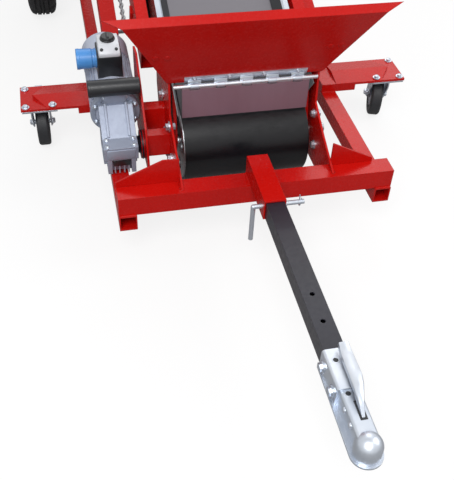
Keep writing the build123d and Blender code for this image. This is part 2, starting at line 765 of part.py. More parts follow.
motor_table = ((0, 13, cover_r), (13, 215, motor_r), (215, 300, cover_r))
motor_axis = Plane(
    origin=(
        gear_x,
        hinge_y + gear_s[1] * cos(gear_lean) - motor_n * sin(gear_lean),
        hinge_z + gear_s[1] * sin(gear_lean) + motor_n * cos(gear_lean),
    ),
    x_dir=(1, 0, 0),
    z_dir=(0, cos(gear_lean), sin(gear_lean)),
)
with BuildPart() as motor:
    for start, end, radius in motor_table:
        with BuildSketch(motor_axis.offset(start)):
            Circle(radius)
        extrude(amount=end - start)
keep(motor, "motor")

can_r = 24
can_s = gear_s[1] - 6
can_n = motor_n + cover_r + can_r
with BuildPart() as capacitor:
    bar(gear, (gear_x - 74, gear_x + 72), can_s, can_n, can_r)
    plate(
        gear,
        (gear_x - 22, gear_x + 22),
        [(can_s - 5, motor_n), (can_s + 14, motor_n), (can_s + 14, can_n), (can_s - 5, can_n)],
    )
    add(motor.part, mode=Mode.SUBTRACT)
    add(gearbox.part, mode=Mode.SUBTRACT)
keep(capacitor, "capacitor")

box_half = 38
box_s = 132
box_low = motor_n + motor_r
with BuildPart() as switch_box:
    plate(
        gear,
        (gear_x - box_half, gear_x + box_half),
        [
            (box_s, box_low - 16), (box_s + 80, box_low - 16), (box_s + 80, box_low + 93),
            (box_s + 26, box_low + 93), (box_s, box_low + 53),
        ],
    )
    add(motor.part, mode=Mode.SUBTRACT)
keep(switch_box, "switch_box")

inlet_r = 27
with BuildPart() as power_inlet:
    bar(gear, (gear_x - box_half - 54, gear_x - box_half), box_s + 47, box_low + 30, inlet_r)
keep(power_inlet, "power_inlet")
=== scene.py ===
# %% [markdown]
# # A towable telescopic belt conveyor
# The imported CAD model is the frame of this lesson. Every piece of it is already in
# place, in metres, with Z up from the ground and Y along the conveyor. The cells
# below add the camera, the studio and the finishes, then the small hardware.

# %% Load the frame
import math

import bmesh
import bpy
from mathutils import Matrix, Vector


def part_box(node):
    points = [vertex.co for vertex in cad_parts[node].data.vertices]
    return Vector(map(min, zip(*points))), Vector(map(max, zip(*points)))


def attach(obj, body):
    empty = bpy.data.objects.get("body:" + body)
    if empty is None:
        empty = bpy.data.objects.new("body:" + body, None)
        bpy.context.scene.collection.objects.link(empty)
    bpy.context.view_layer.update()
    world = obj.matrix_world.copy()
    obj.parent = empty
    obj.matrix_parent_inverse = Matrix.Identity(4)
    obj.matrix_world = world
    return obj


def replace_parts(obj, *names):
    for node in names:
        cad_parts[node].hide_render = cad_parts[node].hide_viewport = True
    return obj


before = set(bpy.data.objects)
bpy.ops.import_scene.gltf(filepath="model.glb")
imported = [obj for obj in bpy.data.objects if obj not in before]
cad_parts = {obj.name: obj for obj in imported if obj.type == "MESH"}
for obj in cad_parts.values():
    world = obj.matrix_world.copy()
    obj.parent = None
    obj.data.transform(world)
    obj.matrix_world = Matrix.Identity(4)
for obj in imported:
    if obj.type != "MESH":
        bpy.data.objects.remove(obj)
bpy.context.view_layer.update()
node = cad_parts
BEAM_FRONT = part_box("cross_beam")[0][1]
SKID_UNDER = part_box("skid_left")[0][2]

# %% [markdown]
# ## Camera
# The picture was taken from above the drawbar end with a normal lens. Its place was
# worked out from the square tubes, so three angles, a point and a lens length say it all.
# The camera's own axes go straight into its matrix, which keeps the small roll.

# %% Camera
AZIMUTH, ELEVATION, ROLL = (math.radians(a) for a in (-14.663, 43.574, 3.322))
SENSOR_MM, FOCAL_PX, PICTURE_PX = 36.0, 754.66, 480.0
back = Vector((
    math.sin(AZIMUTH) * math.cos(ELEVATION),
    -math.cos(AZIMUTH) * math.cos(ELEVATION),
    math.sin(ELEVATION),
))
flat_right = Vector((math.cos(AZIMUTH), math.sin(AZIMUTH), 0.0))
flat_up = back.cross(flat_right)
cam_x = math.cos(ROLL) * flat_right + math.sin(ROLL) * flat_up
cam_y = -math.sin(ROLL) * flat_right + math.cos(ROLL) * flat_up
cam_place = Vector((-0.49858, -1.56705 + BEAM_FRONT, 1.45209 + SKID_UNDER))
cam_data = bpy.data.cameras.new("camera")
cam_data.sensor_fit = "VERTICAL"
cam_data.sensor_height = SENSOR_MM
cam_data.lens = SENSOR_MM * FOCAL_PX / PICTURE_PX
cam_data.clip_end = 200.0
camera = bpy.data.objects.new("camera", cam_data)
bpy.context.scene.collection.objects.link(camera)
camera.matrix_world = Matrix((
    (cam_x.x, cam_y.x, back.x, cam_place.x),
    (cam_x.y, cam_y.y, back.y, cam_place.y),
    (cam_x.z, cam_y.z, back.z, cam_place.z),
    (0.0, 0.0, 0.0, 1.0),
))
bpy.context.scene.camera = camera
print("lens", round(cam_data.lens, 2))

# %% [markdown]
# ## Nodes and colours
# Small helpers serve every finish. One turns a colour picked as sRGB hex into the linear
# numbers a shader works with. One adds a node with its settings and links, where an input
# named _0 is found by its number. The last two are the mixes and products used most.

# %% Helpers for finishes
def linear(code):
    parts = [int(code[i:i + 2], 16) / 255.0 for i in (1, 3, 5)]
    return tuple(c / 12.92 if c <= 0.04045 else ((c + 0.055) / 1.055) ** 2.4 for c in parts) + (1.0,)


def put(tree, kind, settings=None, **inputs):
    made = tree.nodes.new(kind)
    for name, value in (settings or {}).items():
        setattr(made, name, value)
    for name, value in inputs.items():
        key = int(name[1:]) if name[0] == "_" else name.replace("_", " ")
        if isinstance(value, bpy.types.NodeSocket):
            tree.links.new(value, made.inputs[key])
        else:
            made.inputs[key].default_value = value
    return made


def blend(tree, share, first, second):
    return put(tree, "ShaderNodeMix", {"data_type": "RGBA"}, _0=share, _6=first, _7=second).outputs[2]


def times(tree, first, second):
    return put(tree, "ShaderNodeMath", {"operation": "MULTIPLY"}, _0=first, _1=second).outputs[0]


print("colour test", [round(c, 3) for c in linear("#808080")])

# %% [markdown]
# ## Studio
# A pale floor that runs out of sight, a pale world and large soft lamps. The floor keeps
# the shadows. To the camera it glows, so that it reads as the white sheet of a catalogue
# picture, and it throws only a little light back up. The world is brighter to the camera and
# in reflections than as a light, and as bright as the far floor, so no horizon shows.

# %% World
WHITE = (1.0, 1.0, 1.0, 1.0)
WORLD_LIGHT, WORLD_SHOWN = 0.45, 0.9
scene = bpy.context.scene
scene.view_settings.view_transform = "Standard"
world = bpy.data.worlds.new("studio")
scene.world = world
world.use_nodes = True
tree = world.node_tree
tree.nodes.clear()
ray = put(tree, "ShaderNodeLightPath").outputs
shown = put(tree, "ShaderNodeMath", {"operation": "MAXIMUM"}, _0=ray["Is Camera Ray"], _1=ray["Is Glossy Ray"])
level = put(tree, "ShaderNodeMapRange", Value=shown.outputs[0], To_Min=WORLD_LIGHT, To_Max=WORLD_SHOWN)
sky = put(tree, "ShaderNodeBackground", Color=WHITE, Strength=level.outputs[0])
put(tree, "ShaderNodeOutputWorld", Surface=sky.outputs[0])
print("world", WORLD_LIGHT, WORLD_SHOWN)

# %% [markdown]
# The floor's paper is a mix of a matt sheet and a glow. The light path picks the share of
# each: much glow for the camera, a trace for mirrors, none for the light that bounces.

# %% Floor and lamps
FLOOR_GLOW, FLOOR_MIRRORED, FLOOR_HALF = 0.82, 0.08, 80.0
AIM = Vector((0.0, -0.6, 0.3))
floor_paper = bpy.data.materials.new("white_paper_sweep")
floor_paper.use_nodes = True
tree = floor_paper.node_tree
tree.nodes.clear()
ray = put(tree, "ShaderNodeLightPath").outputs
shown = put(tree, "ShaderNodeMath", {"operation": "MULTIPLY_ADD"}, _0=ray["Is Camera Ray"], _1=FLOOR_GLOW,
            _2=times(tree, ray["Is Glossy Ray"], FLOOR_MIRRORED))
sheet = blend(tree, ray["Is Camera Ray"], linear("#9A9A9A"), linear("#F6F6F6"))
paper = put(tree, "ShaderNodeBsdfDiffuse", Color=sheet)
glow = put(tree, "ShaderNodeEmission", Color=WHITE, Strength=1.0)
both = put(tree, "ShaderNodeMixShader", _0=shown.outputs[0], _1=paper.outputs[0], _2=glow.outputs[0])
put(tree, "ShaderNodeOutputMaterial", Surface=both.outputs[0])

floor_mesh = bpy.data.meshes.new("floor")
corners = [(x * FLOOR_HALF, y * FLOOR_HALF, 0.0) for x, y in ((-1, -1), (1, -1), (1, 1), (-1, 1))]
floor_mesh.from_pydata(corners, [], [(0, 1, 2, 3)])
floor_mesh.materials.append(floor_paper)
floor = bpy.data.objects.new("floor", floor_mesh)
scene.collection.objects.link(floor)
for label, place, size, power in (
    ("key", (-1.4, -4.2, 4.4), 2.6, 190.0),
    ("fill", (3.6, -1.6, 3.4), 3.0, 70.0),
    ("rear", (1.8, 4.0, 4.8), 4.0, 90.0),
):
    lamp_data = bpy.data.lights.new(label, "AREA")
    lamp_data.size = size
    lamp_data.energy = power
    lamp = bpy.data.objects.new(label, lamp_data)
    lamp.location = place
    lamp.rotation_euler = (AIM - Vector(place)).to_track_quat("-Z", "Y").to_euler()
    scene.collection.objects.link(lamp)
    print("lamp", label, power, "W")

# %% [markdown]
# ## Finishes
# Paint, plating, rubber and castings differ in colour, in how their colour wanders, in
# gloss and in grain. One function makes them all: two noise patterns drift the colour and
# the gloss, a finer one gives the grain, and a bevel normal softens the CAD model's sharp
# edges. Where that normal leaves the flat face, an edge is near, and paint is thin there.

# %% The finish function
BEVEL_METAL, BEVEL_OTHER, COAT_ROUGH = 0.001, 0.0025, 0.06


def finish(name, body, drift, edge, wear, rough, metal, coat, grain_mm, relief_mm, shine=0.5, stretch=(1, 1, 1)):
    made = bpy.data.materials.new(name)
    made.use_nodes = True
    tree = made.node_tree
    shader = tree.nodes["Principled BSDF"]
    place = put(tree, "ShaderNodeTexCoord")
    lay = put(tree, "ShaderNodeMapping", Vector=place.outputs["Object"], Scale=stretch).outputs[0]
    cloud = put(tree, "ShaderNodeTexNoise", Vector=lay, Scale=7.0, Detail=4.0, Roughness=0.6).outputs["Fac"]
    speck = put(tree, "ShaderNodeTexNoise", Vector=lay, Scale=90.0, Detail=3.0, Roughness=0.7).outputs["Fac"]
    grain = put(tree, "ShaderNodeTexNoise", Vector=lay, Scale=1000.0 / grain_mm, Detail=2.0).outputs["Fac"]
    wander = put(tree, "ShaderNodeMapRange", Value=cloud, From_Min=0.3, From_Max=0.7)
    tone = blend(tree, wander.outputs[0], linear(body), linear(drift))
    soft = put(tree, "ShaderNodeBevel", {"samples": 4}, Radius=BEVEL_METAL if metal > 0.5 else BEVEL_OTHER)
    face = put(tree, "ShaderNodeNewGeometry")
    level = put(tree, "ShaderNodeVectorMath", {"operation": "DOT_PRODUCT"},
                _0=soft.outputs[0], _1=face.outputs["True Normal"])
    near = put(tree, "ShaderNodeMapRange", Value=level.outputs["Value"],
               From_Min=0.985, From_Max=0.86, To_Max=wear)
    chips = put(tree, "ShaderNodeMapRange", Value=speck, From_Min=0.38, From_Max=0.62)
    worn = times(tree, near.outputs[0], chips.outputs[0])
    gloss = put(tree, "ShaderNodeMapRange", Value=speck, From_Min=0.25, From_Max=0.75,
                To_Min=max(rough - 0.07, 0.03), To_Max=rough + 0.09)
    relief = put(tree, "ShaderNodeBump", Strength=0.5, Distance=relief_mm / 1000.0,
                 Height=grain, Normal=soft.outputs[0])
    tree.links.new(blend(tree, worn, tone, linear(edge)), shader.inputs["Base Color"])
    tree.links.new(gloss.outputs[0], shader.inputs["Roughness"])
    tree.links.new(relief.outputs[0], shader.inputs["Normal"])
    shader.inputs["Metallic"].default_value = metal
    shader.inputs["Specular IOR Level"].default_value = shine
    shader.inputs["Coat Weight"].default_value = coat
    shader.inputs["Coat Roughness"].default_value = COAT_ROUGH
    return made


# %% [markdown]
# Each row below is one real finish. The enamel is a gloss coat with a faint orange peel of
# about 4 mm. Zinc plate is pale blue-grey metal. Belting and skirts are black rubber that
# dust greys. The flap is a mauve wear-resistant rubber sheet. Housings are sand-cast
# aluminium with a coarse skin, sprayed steel and moulded plastic.

# %% Finish table
FINISHES = (
    # name, body, drift, edge, wear, rough, metal, coat, grain mm, relief mm, shine, stretch
    ("gloss_red_enamel", "#C0120C", "#B80F0A", "#5A1512", 0.3, 0.25, 0.0, 0.06, 4.0, 0.008, 0.2),
    ("satin_black_enamel", "#14141F", "#1B1B27", "#4A4A50", 0.5, 0.36, 0.0, 0.1, 2.0, 0.02, 0.4),
    ("bright_zinc_plate", "#D3D8E0", "#BEC6D2", "#9A9CA2", 0.25, 0.36, 0.92, 0.0, 5.0, 0.003),
    ("turned_steel", "#C2C5C9", "#AEB1B5", "#8A8B8E", 0.4, 0.3, 1.0, 0.0, 3.0, 0.01),
    ("smooth_black_belting", "#08080B", "#0D0D12", "#26272A", 0.2, 0.34, 0.0, 0.0, 1.6, 0.004, 0.36, (0.5, 1, 1)),
    ("black_skirt_rubber", "#131417", "#1F2126", "#2C2D31", 0.4, 0.42, 0.0, 0.0, 2.4, 0.08),
    ("mauve_sheet_rubber", "#765761", "#816370", "#6A4A50", 0.3, 0.38, 0.0, 0.05, 3.0, 0.01, 0.5, (1, 1, 0.2)),
    ("solid_caster_rubber", "#26272A", "#34363A", "#4A4B4E", 0.5, 0.48, 0.0, 0.0, 1.8, 0.1),
    ("road_tyre_rubber", "#151517", "#222225", "#303033", 0.5, 0.56, 0.0, 0.0, 1.6, 0.12),
    ("sand_cast_aluminium", "#A4ACBD", "#949CAE", "#C2C8D2", 0.5, 0.5, 0.35, 0.0, 1.8, 0.05, 0.4),
    ("light_grey_enamel", "#B9C0D0", "#A9B0C2", "#7E8288", 0.4, 0.34, 0.0, 0.15, 2.5, 0.02),
    ("black_moulded_plastic", "#17181B", "#202226", "#303236", 0.4, 0.34, 0.0, 0.0, 0.9, 0.05),
    ("pale_moulded_plastic", "#D3D6DB", "#C5C9D0", "#B2B6BC", 0.4, 0.32, 0.0, 0.0, 0.9, 0.04),
    ("blue_moulded_plastic", "#3F86CF", "#5C9BDB", "#2E6AAE", 0.4, 0.3, 0.0, 0.0, 0.9, 0.04),
    ("hard_chrome", "#D5D7DA", "#C6C9CD", "#B8BABD", 0.2, 0.1, 1.0, 0.0, 1.0, 0.01),
    ("galvanised_sheet", "#8F989B", "#7D8689", "#B8B4BC", 0.7, 0.42, 0.6, 0.0, 4.0, 0.01),
    ("silver_enamel", "#C3C6C9", "#B1B4B8", "#7A7C7F", 0.5, 0.3, 0.6, 0.3, 2.0, 0.04),
)
paint = {row[0]: finish(*row) for row in FINISHES}
print("finishes", len(paint))

# %% [markdown]
# ## Places
# Points on the boom and on the tilted gearmotor are given along and above their own centre
# lines, as on a drawing. Both lines start at the tail drum's shaft. Chassis points are
# measured from the beam's front face and the skids' underside, as the plates were drawn.

# %% Places on the leaning planes
INCLINE, GEAR_LEAN = math.radians(22.0), math.radians(6.0)


def from_beam(x, y, z):
    return Vector((x, BEAM_FRONT + y, SKID_UNDER + z))


HINGE = from_beam(0.0, 0.270, 0.090)


def along(angle):
    return Vector((0.0, math.cos(angle), math.sin(angle))), Vector((0.0, -math.sin(angle), math.cos(angle)))


def on_plane(angle, x, s, n):
    run, rise = along(angle)
    return HINGE + Vector((x, 0.0, 0.0)) + run * s + rise * n


print("tail shaft at", HINGE)

# %% [markdown]
# The CAD nodes keep their shapes and take their finish here. The start of a name stands for
# a pair of pieces, left and right. What the table leaves out is painted red.

# %% Finishes on the CAD nodes
ON_NODES = (
    ("bright_zinc_plate", ("ball_coupling", "coupling_handle", "hitch_pin", "caster_fork",
                           "caster_mount", "hinge_leaf")),
    ("satin_black_enamel", ("drawbar",)),
    ("turned_steel", ("tail_drum", "head_drum", "snub_roller", "extension_tail", "extension_head", "belt_bed")),
    ("smooth_black_belting", ("base_belt", "extension_belt")),
    ("mauve_sheet_rubber", ("feed_flap",)),
    ("solid_caster_rubber", ("caster_wheel",)),
    ("road_tyre_rubber", ("tyre",)),
    ("sand_cast_aluminium", ("gearbox",)),
    ("light_grey_enamel", ("motor",)),
    ("black_moulded_plastic", ("capacitor",)),
    ("pale_moulded_plastic", ("switch_box",)),
    ("blue_moulded_plastic", ("power_inlet",)),
    ("hard_chrome", ("lift_rod",)),
    ("silver_enamel", ("wheel_rim",)),
)
for name, solid in node.items():
    chosen = [look for look, starts in ON_NODES if name.startswith(starts)]
    solid.data.materials.clear()
    solid.data.materials.append(paint[chosen[0] if chosen else "gloss_red_enamel"])
print("nodes dressed")

# %% [markdown]
# Two finishes change with the place on the piece. Dust greys the belt's upper run, past the
# tail drum. The belt is one loop and one node, so its colour is mixed by where a point lies.

# %% Dust on the belt
def vector_math(tree, operation, first, second):
    return put(tree, "ShaderNodeVectorMath", {"operation": operation}, _0=first, _1=second).outputs


def colour_input(look):
    tree = paint[look].node_tree
    socket = tree.nodes["Principled BSDF"].inputs["Base Color"]
    return tree, socket, socket.links[0].from_socket, put(tree, "ShaderNodeTexCoord").outputs["Object"]


DUST_FADE, BELT_TOP, DUST_MOST = 0.25, (0.110, 0.116), 0.9
to_belt = node["base_belt"].matrix_world.inverted()
tree, colour, rubber, where = colour_input("smooth_black_belting")
from_hinge = vector_math(tree, "SUBTRACT", where, to_belt @ HINGE)[0]
distance, height = (vector_math(tree, "DOT_PRODUCT", from_hinge, to_belt.to_3x3() @ way)["Value"]
                    for way in along(INCLINE))
past = put(tree, "ShaderNodeMapRange", Value=distance, From_Min=0.0, From_Max=DUST_FADE)
upper = put(tree, "ShaderNodeMapRange", Value=height, From_Min=BELT_TOP[0], From_Max=BELT_TOP[1], To_Max=DUST_MOST)
laid = times(tree, past.outputs[0], upper.outputs[0])
tree.links.new(blend(tree, laid, rubber, linear("#7A787E")), colour)
print("dust laid")

# %% [markdown]
# The flap hangs from a plated rod, and both belong to one CAD node, so the flap's finish
# turns to plate close to the rod's centre line.

# %% Plate on the flap's rod
PLATED_R = 0.0072
rod_at = node["feed_flap"].matrix_world.inverted() @ from_beam(0.0, 0.221, 0.307)
tree, colour, rubber, where = colour_input("mauve_sheet_rubber")
from_rod = vector_math(tree, "SUBTRACT", where, rod_at)[0]
across_rod = vector_math(tree, "MULTIPLY", from_rod, (0.0, 1.0, 1.0))[0]
off_rod = put(tree, "ShaderNodeVectorMath", {"operation": "LENGTH"}, _0=across_rod).outputs["Value"]
plated = put(tree, "ShaderNodeMath", {"operation": "LESS_THAN"}, _0=off_rod, _1=PLATED_R).outputs[0]
tree.links.new(blend(tree, plated, rubber, linear("#DDE1E7")), colour)
tree.links.new(plated, tree.nodes["Principled BSDF"].inputs["Metallic"])
print("rod plated")

# %% [markdown]
# ## Making pieces
# New pieces are plain meshes with their place in the mesh. A lathe turns a profile round an
# axis, for bearings, knobs and caps. A loft joins rows of points with faces and closes its
# ends, for castings, strips and bent sheet. Both leave closed meshes. A modifier could do
# the same, but these few lines show where every face comes from.

# %% Pieces
ZINC, STEEL, RED = "bright_zinc_plate", "turned_steel", "gloss_red_enamel"
CAST, BLACK = "sand_cast_aluminium", "black_moulded_plastic"


def piece(name, mesh, look, body, angle=35.0):
    mesh.name = name
    if look:
        mesh.materials.clear()
        mesh.materials.append(paint[look])
    mesh.polygons.foreach_set("use_smooth", [True] * len(mesh.polygons))
    mesh.set_sharp_from_angle(angle=math.radians(angle))
    made = bpy.data.objects.new(name, mesh)
    scene.collection.objects.link(made)
    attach(made, body)
    print(name, len(mesh.polygons), "faces on", body)
    return made


def as_mesh(shape):
    mesh = bpy.data.meshes.new("piece")
    shape.to_mesh(mesh)
    shape.free()
    return mesh


def wrap(shape, rows, closed):
    count = len(rows[0])
    for one, two in zip(rows, rows[1:] + rows[:1]):
        for k in range(count if closed else count - 1):
            n = (k + 1) % count
            shape.faces.new((one[k], one[n], two[n], two[k]))
    bmesh.ops.remove_doubles(shape, verts=shape.verts, dist=1e-6)
    bmesh.ops.recalc_face_normals(shape, faces=shape.faces)
    return as_mesh(shape)


# %% [markdown]
# A profile is a row of pairs: how far along the axis, and how far from it. One that starts
# and ends on the axis is closed by itself. One that stays off the axis is a ring, so its
# last point is joined to its first.

# %% Lathe and loft
def lathe(rings, profile, origin, axis, start):
    axis, start = Vector(axis).normalized(), Vector(start).normalized()
    side = axis.cross(start)
    shape = bmesh.new()
    rows = []
    for i in range(rings):
        turn = 2.0 * math.pi * i / rings
        out = start * math.cos(turn) + side * math.sin(turn)
        rows.append([shape.verts.new(Vector(origin) + axis * a + out * r) for a, r in profile])
    return wrap(shape, rows, closed=profile[0][1] * profile[-1][1] != 0)


def loft(rows, round_by=0.0):
    shape = bmesh.new()
    rows = [[shape.verts.new(place) for place in row] for row in rows]
    count = len(rows[0])
    shape.faces.new(rows[0])
    shape.faces.new(list(reversed(rows[-1])))
    for one, two in zip(rows, rows[1:]):
        for k in range(count):
            n = (k + 1) % count
            shape.faces.new((one[k], one[n], two[n], two[k]))
    bmesh.ops.recalc_face_normals(shape, faces=shape.faces)
    if round_by:
        bmesh.ops.bevel(shape, geom=shape.edges[:], offset=round_by, segments=2, affect="EDGES", profile=0.5)
    return as_mesh(shape)


def turned(name, rings, profile, origin, axis, look, body="chassis", start=(0, 0, 1)):
    return piece(name, lathe(rings, profile, origin, axis, start), look, body)


# %% [markdown]
# ## Prisms with soft edges
# Boxes on this machine are mouldings and castings, so their edges are rounded. A prism is
# drawn in the leaning plane of the gearmotor or in the boom's plane, then bevelled.

# %% Prism helper
def prism(name, angle, outline, x, look, body, round_by=0.002):
    rows = [[on_plane(angle, side, s, n) for s, n in outline] for side in x]
    return piece(name, loft(rows, round_by), look, body, 50.0)


def rectangle(s0, s1, n0, n1):
    return [(s0, n0), (s1, n0), (s1, n1), (s0, n1)]


# %% [markdown]
# ## Bolts
# Hex bolts with washers repeat all over the machine. One Geometry Nodes tree puts a head
# on every point of a mesh, turned to the direction stored with the point. The result is
# turned into a plain mesh, one for each moving body. Every tree here has the same ends: a
# geometry, some sizes and a finish come in, and one coated mesh goes out.

# %% Ends of a tree
def new_tree(name, sizes):
    tree = bpy.data.node_groups.new(name, "GeometryNodeTree")
    tree.interface.new_socket("Geometry", in_out="INPUT", socket_type="NodeSocketGeometry")
    for label, size in sizes:
        tree.interface.new_socket(label, in_out="INPUT", socket_type="NodeSocketFloat").default_value = size
    tree.interface.new_socket("Finish", in_out="INPUT", socket_type="NodeSocketMaterial")
    tree.interface.new_socket("Geometry", in_out="OUTPUT", socket_type="NodeSocketGeometry")
    return tree, put(tree, "NodeGroupInput").outputs


def end_tree(tree, shape, given):
    solid = put(tree, "GeometryNodeRealizeInstances", Geometry=shape)
    coated = put(tree, "GeometryNodeSetMaterial", Geometry=solid.outputs[0], Material=given["Finish"])
    put(tree, "NodeGroupOutput", Geometry=coated.outputs[0])
    print("tree", tree.name, len(tree.nodes), "nodes")


def stored(tree, name):
    return put(tree, "GeometryNodeInputNamedAttribute", {"data_type": "FLOAT_VECTOR"}, Name=name).outputs[0]


def every_point(tree, points, shape, rotation):
    return put(tree, "GeometryNodeInstanceOnPoints", Points=points, Instance=shape, Rotation=rotation).outputs[0]


# %% [markdown]
# A head is a six-sided cylinder with a low cone on top, for its turned chamfer. The point is
# the washer's middle, so points stand half a washer off the face they sit on.

# %% Bolt tree
WASHER, CHAMFER = 0.003, 0.0012
bolts, given = new_tree("hex_bolts", (("Head Radius", 0.008), ("Head Height", 0.007), ("Washer Radius", 0.011)))
head_r, head_h = given["Head Radius"], given["Head Height"]
hexagon = put(bolts, "GeometryNodeMeshCylinder", Vertices=6, Radius=head_r, Depth=head_h)
cone = put(bolts, "GeometryNodeMeshCone", Vertices=18, Depth=CHAMFER,
           Radius_Top=times(bolts, head_r, 0.62), Radius_Bottom=times(bolts, head_r, 0.84))
washer = put(bolts, "GeometryNodeMeshCylinder", Vertices=24, Radius=given["Washer Radius"], Depth=WASHER)
parts = []
for shape, high in ((hexagon, times(bolts, head_h, 0.5)), (cone, head_h)):
    lift = put(bolts, "ShaderNodeCombineXYZ", Z=high)
    parts.append(put(bolts, "GeometryNodeTransform", Geometry=shape.outputs["Mesh"],
                     Translation=lift.outputs[0]).outputs[0])
head = put(bolts, "GeometryNodeJoinGeometry")
for part in parts + [washer.outputs["Mesh"]]:
    bolts.links.new(part, head.inputs[0])
facing = put(bolts, "FunctionNodeAlignRotationToVector", {"axis": "Z"}, Vector=stored(bolts, "out"))
end_tree(bolts, every_point(bolts, given["Geometry"], head.outputs[0], facing.outputs[0]), given)

# %% [markdown]
# To use a tree, a mesh of bare points takes it as a modifier. The result is copied out as a
# plain mesh, and the points go away, so nothing in the finished scene depends on the tree.

# %% Growing a mesh from points
def grow(name, tree, body, sizes, points, vectors=None, edges=()):
    seed = bpy.data.meshes.new(name + "_points")
    seed.from_pydata([tuple(p) for p in points], list(edges), [])
    for label, values in (vectors or {}).items():
        store = seed.attributes.new(label, "FLOAT_VECTOR", "POINT")
        store.data.foreach_set("vector", [c for v in values for c in v])
    stand = bpy.data.objects.new(name + "_points", seed)
    scene.collection.objects.link(stand)
    modifier = stand.modifiers.new("grow", "NODES")
    modifier.node_group = tree
    sockets = {item.name: item.identifier for item in tree.interface.items_tree if item.in_out == "INPUT"}
    for label, value in sizes.items():
        modifier[sockets[label]] = value
    view = bpy.context.evaluated_depsgraph_get()
    mesh = bpy.data.meshes.new_from_object(stand.evaluated_get(view))
    stand.modifiers.clear()
    bpy.data.objects.remove(stand)
    return piece(name, mesh, None, body)


def bolt_set(name, sizes, spots, body="chassis", look=ZINC):
    values = dict(zip(("Head Radius", "Head Height", "Washer Radius"), sizes), Finish=paint[look])
    return grow(name, bolts, body, values, [place for place, _ in spots], {"out": [out for _, out in spots]})


# %% [markdown]
# The chassis bolts sit on the caster arms and the side plates. Two of the side plates' bolts
# show their nuts on the inner face, beside the drum. Sizes are head radius, head height and
# washer radius.

# %% Chassis bolts
UP, LEFT, RIGHT = Vector((0, 0, 1)), Vector((-1, 0, 0)), Vector((1, 0, 0))
SIDES = (("left", -1), ("right", 1))
PLATE_OUTER, PLATE_INNER = 0.2235, 0.2145
ARM_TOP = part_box("caster_arm_left")[1][2] - 0.012
ARM_BOLTS = ((0.634, 0.531, 0), (0.634, 0.637, 0), (0.549, 0.531, 0.003))
PLATE_BOLTS = ((0.185, 0.090), (0.220, 0.179), (0.110, 0.095), (0.345, 0.120), (0.345, 0.210))
WITH_NUT = PLATE_BOLTS[:2]
bolt_set("caster_arm_bolts", (0.0085, 0.007, 0.0125),
         [(Vector((sign * x, BEAM_FRONT + y, ARM_TOP + pad + WASHER / 2)), UP)
          for _, sign in SIDES for x, y, pad in ARM_BOLTS])
bolt_set("side_plate_bolts", (0.011, 0.010, 0.016),
         [(from_beam(sign * PLATE_OUTER, y, z), RIGHT * sign) for _, sign in SIDES for y, z in PLATE_BOLTS])
bolt_set("side_plate_nuts", (0.0105, 0.009, 0.014),
         [(from_beam(sign * PLATE_INNER, y, z), LEFT * sign) for _, sign in SIDES for y, z in WITH_NUT])

# %% [markdown]
# ## Side hardware
# Flange bearings carry the tail drum's shaft. A turned ring with a raised collar reads as a
# bearing, so each one is a lathe shape on its plate. On the right the shaft's end and its
# long studs stand out. On the left the shaft runs on to the gearbox.

# %% Tail bearings
BEARING_FACE, DRIVE_FACE = 0.2222, 0.2965
STUDS = ((0.262, 0.152), (0.222, 0.120), (0.210, 0.052), (0.262, 0.034))


def bearing(name, x, radius, look):
    profile = ((0.0, radius), (0.004, radius), (0.007, radius * 0.92), (0.008, radius * 0.62),
               (0.014, radius * 0.56), (0.015, radius * 0.5), (0.0135, radius * 0.47), (0.0, radius * 0.47))
    turned(name, 40, profile, HINGE + RIGHT * x, RIGHT if x > 0 else LEFT, look)


bearing("tail_bearing_right", BEARING_FACE, 0.046, "satin_black_enamel")
turned("tail_block_right", 36,
       ((0.012, 0.0), (0.012, 0.026), (0.034, 0.024), (0.036, 0.021), (0.036, 0.015), (0.048, 0.0145), (0.050, 0.0)),
       HINGE + RIGHT * BEARING_FACE, RIGHT, STEEL)
bolt_set("tail_studs_right", (0.010, 0.022, 0.016), [(from_beam(0.2265, y, z), RIGHT) for y, z in STUDS])
bearing("tail_bearing_left", -BEARING_FACE, 0.046, CAST)
bearing("drive_bearing", -DRIVE_FACE, 0.0445, "satin_black_enamel")
turned("drive_shaft", 32, ((0.0, 0.0), (0.0, 0.0155), (0.0235, 0.0155), (0.0245, 0.0)),
       HINGE + LEFT * DRIVE_FACE, LEFT, STEEL)

# %% [markdown]
# The head drum's bearings are closed caps on the outside of the boom's rails, each with two
# bolts. More bolts sit in pairs along the rails, two of the three pairs on plates that stand
# 12 mm proud.

# %% Head bearings and boom bolts
RAIL_SIDE, PROUD = 0.268, 0.012
HEAD_S, HEAD_N, HEAD_CAP = 2.960, 0.060, 0.0065
boom_spots = []
for label, sign in SIDES:
    out = RIGHT * sign
    turned(f"head_bearing_{label}", 40,
           ((0.0, 0.0), (0.0, 0.038), (0.006, 0.037), (0.008, 0.024), (0.016, 0.021), (0.016, 0.0)),
           on_plane(INCLINE, sign * (RAIL_SIDE + 0.0002), HEAD_S, HEAD_N), out, CAST, "boom")
    for ds in (-0.029, 0.029):
        boom_spots.append((on_plane(INCLINE, sign * (RAIL_SIDE + HEAD_CAP), HEAD_S + ds, HEAD_N), out))
    for s, proud in ((0.66, 0.0), (1.54, PROUD), (2.84, PROUD)):
        for n in (0.052, 0.080):
            boom_spots.append((on_plane(INCLINE, sign * (RAIL_SIDE + proud + WASHER / 2), s, n), out))
bolt_set("boom_bolts", (0.0065, 0.006, 0.0095), boom_spots, "boom")

# %% [markdown]
# The hinge leaf is fixed by four small screws. Its face leans with the feed plate, so the
# screws point along that face's normal. Five bent tabs wrap the flap's rod. Four shallow
# pads are plug welds that show through the feed plate's paint.

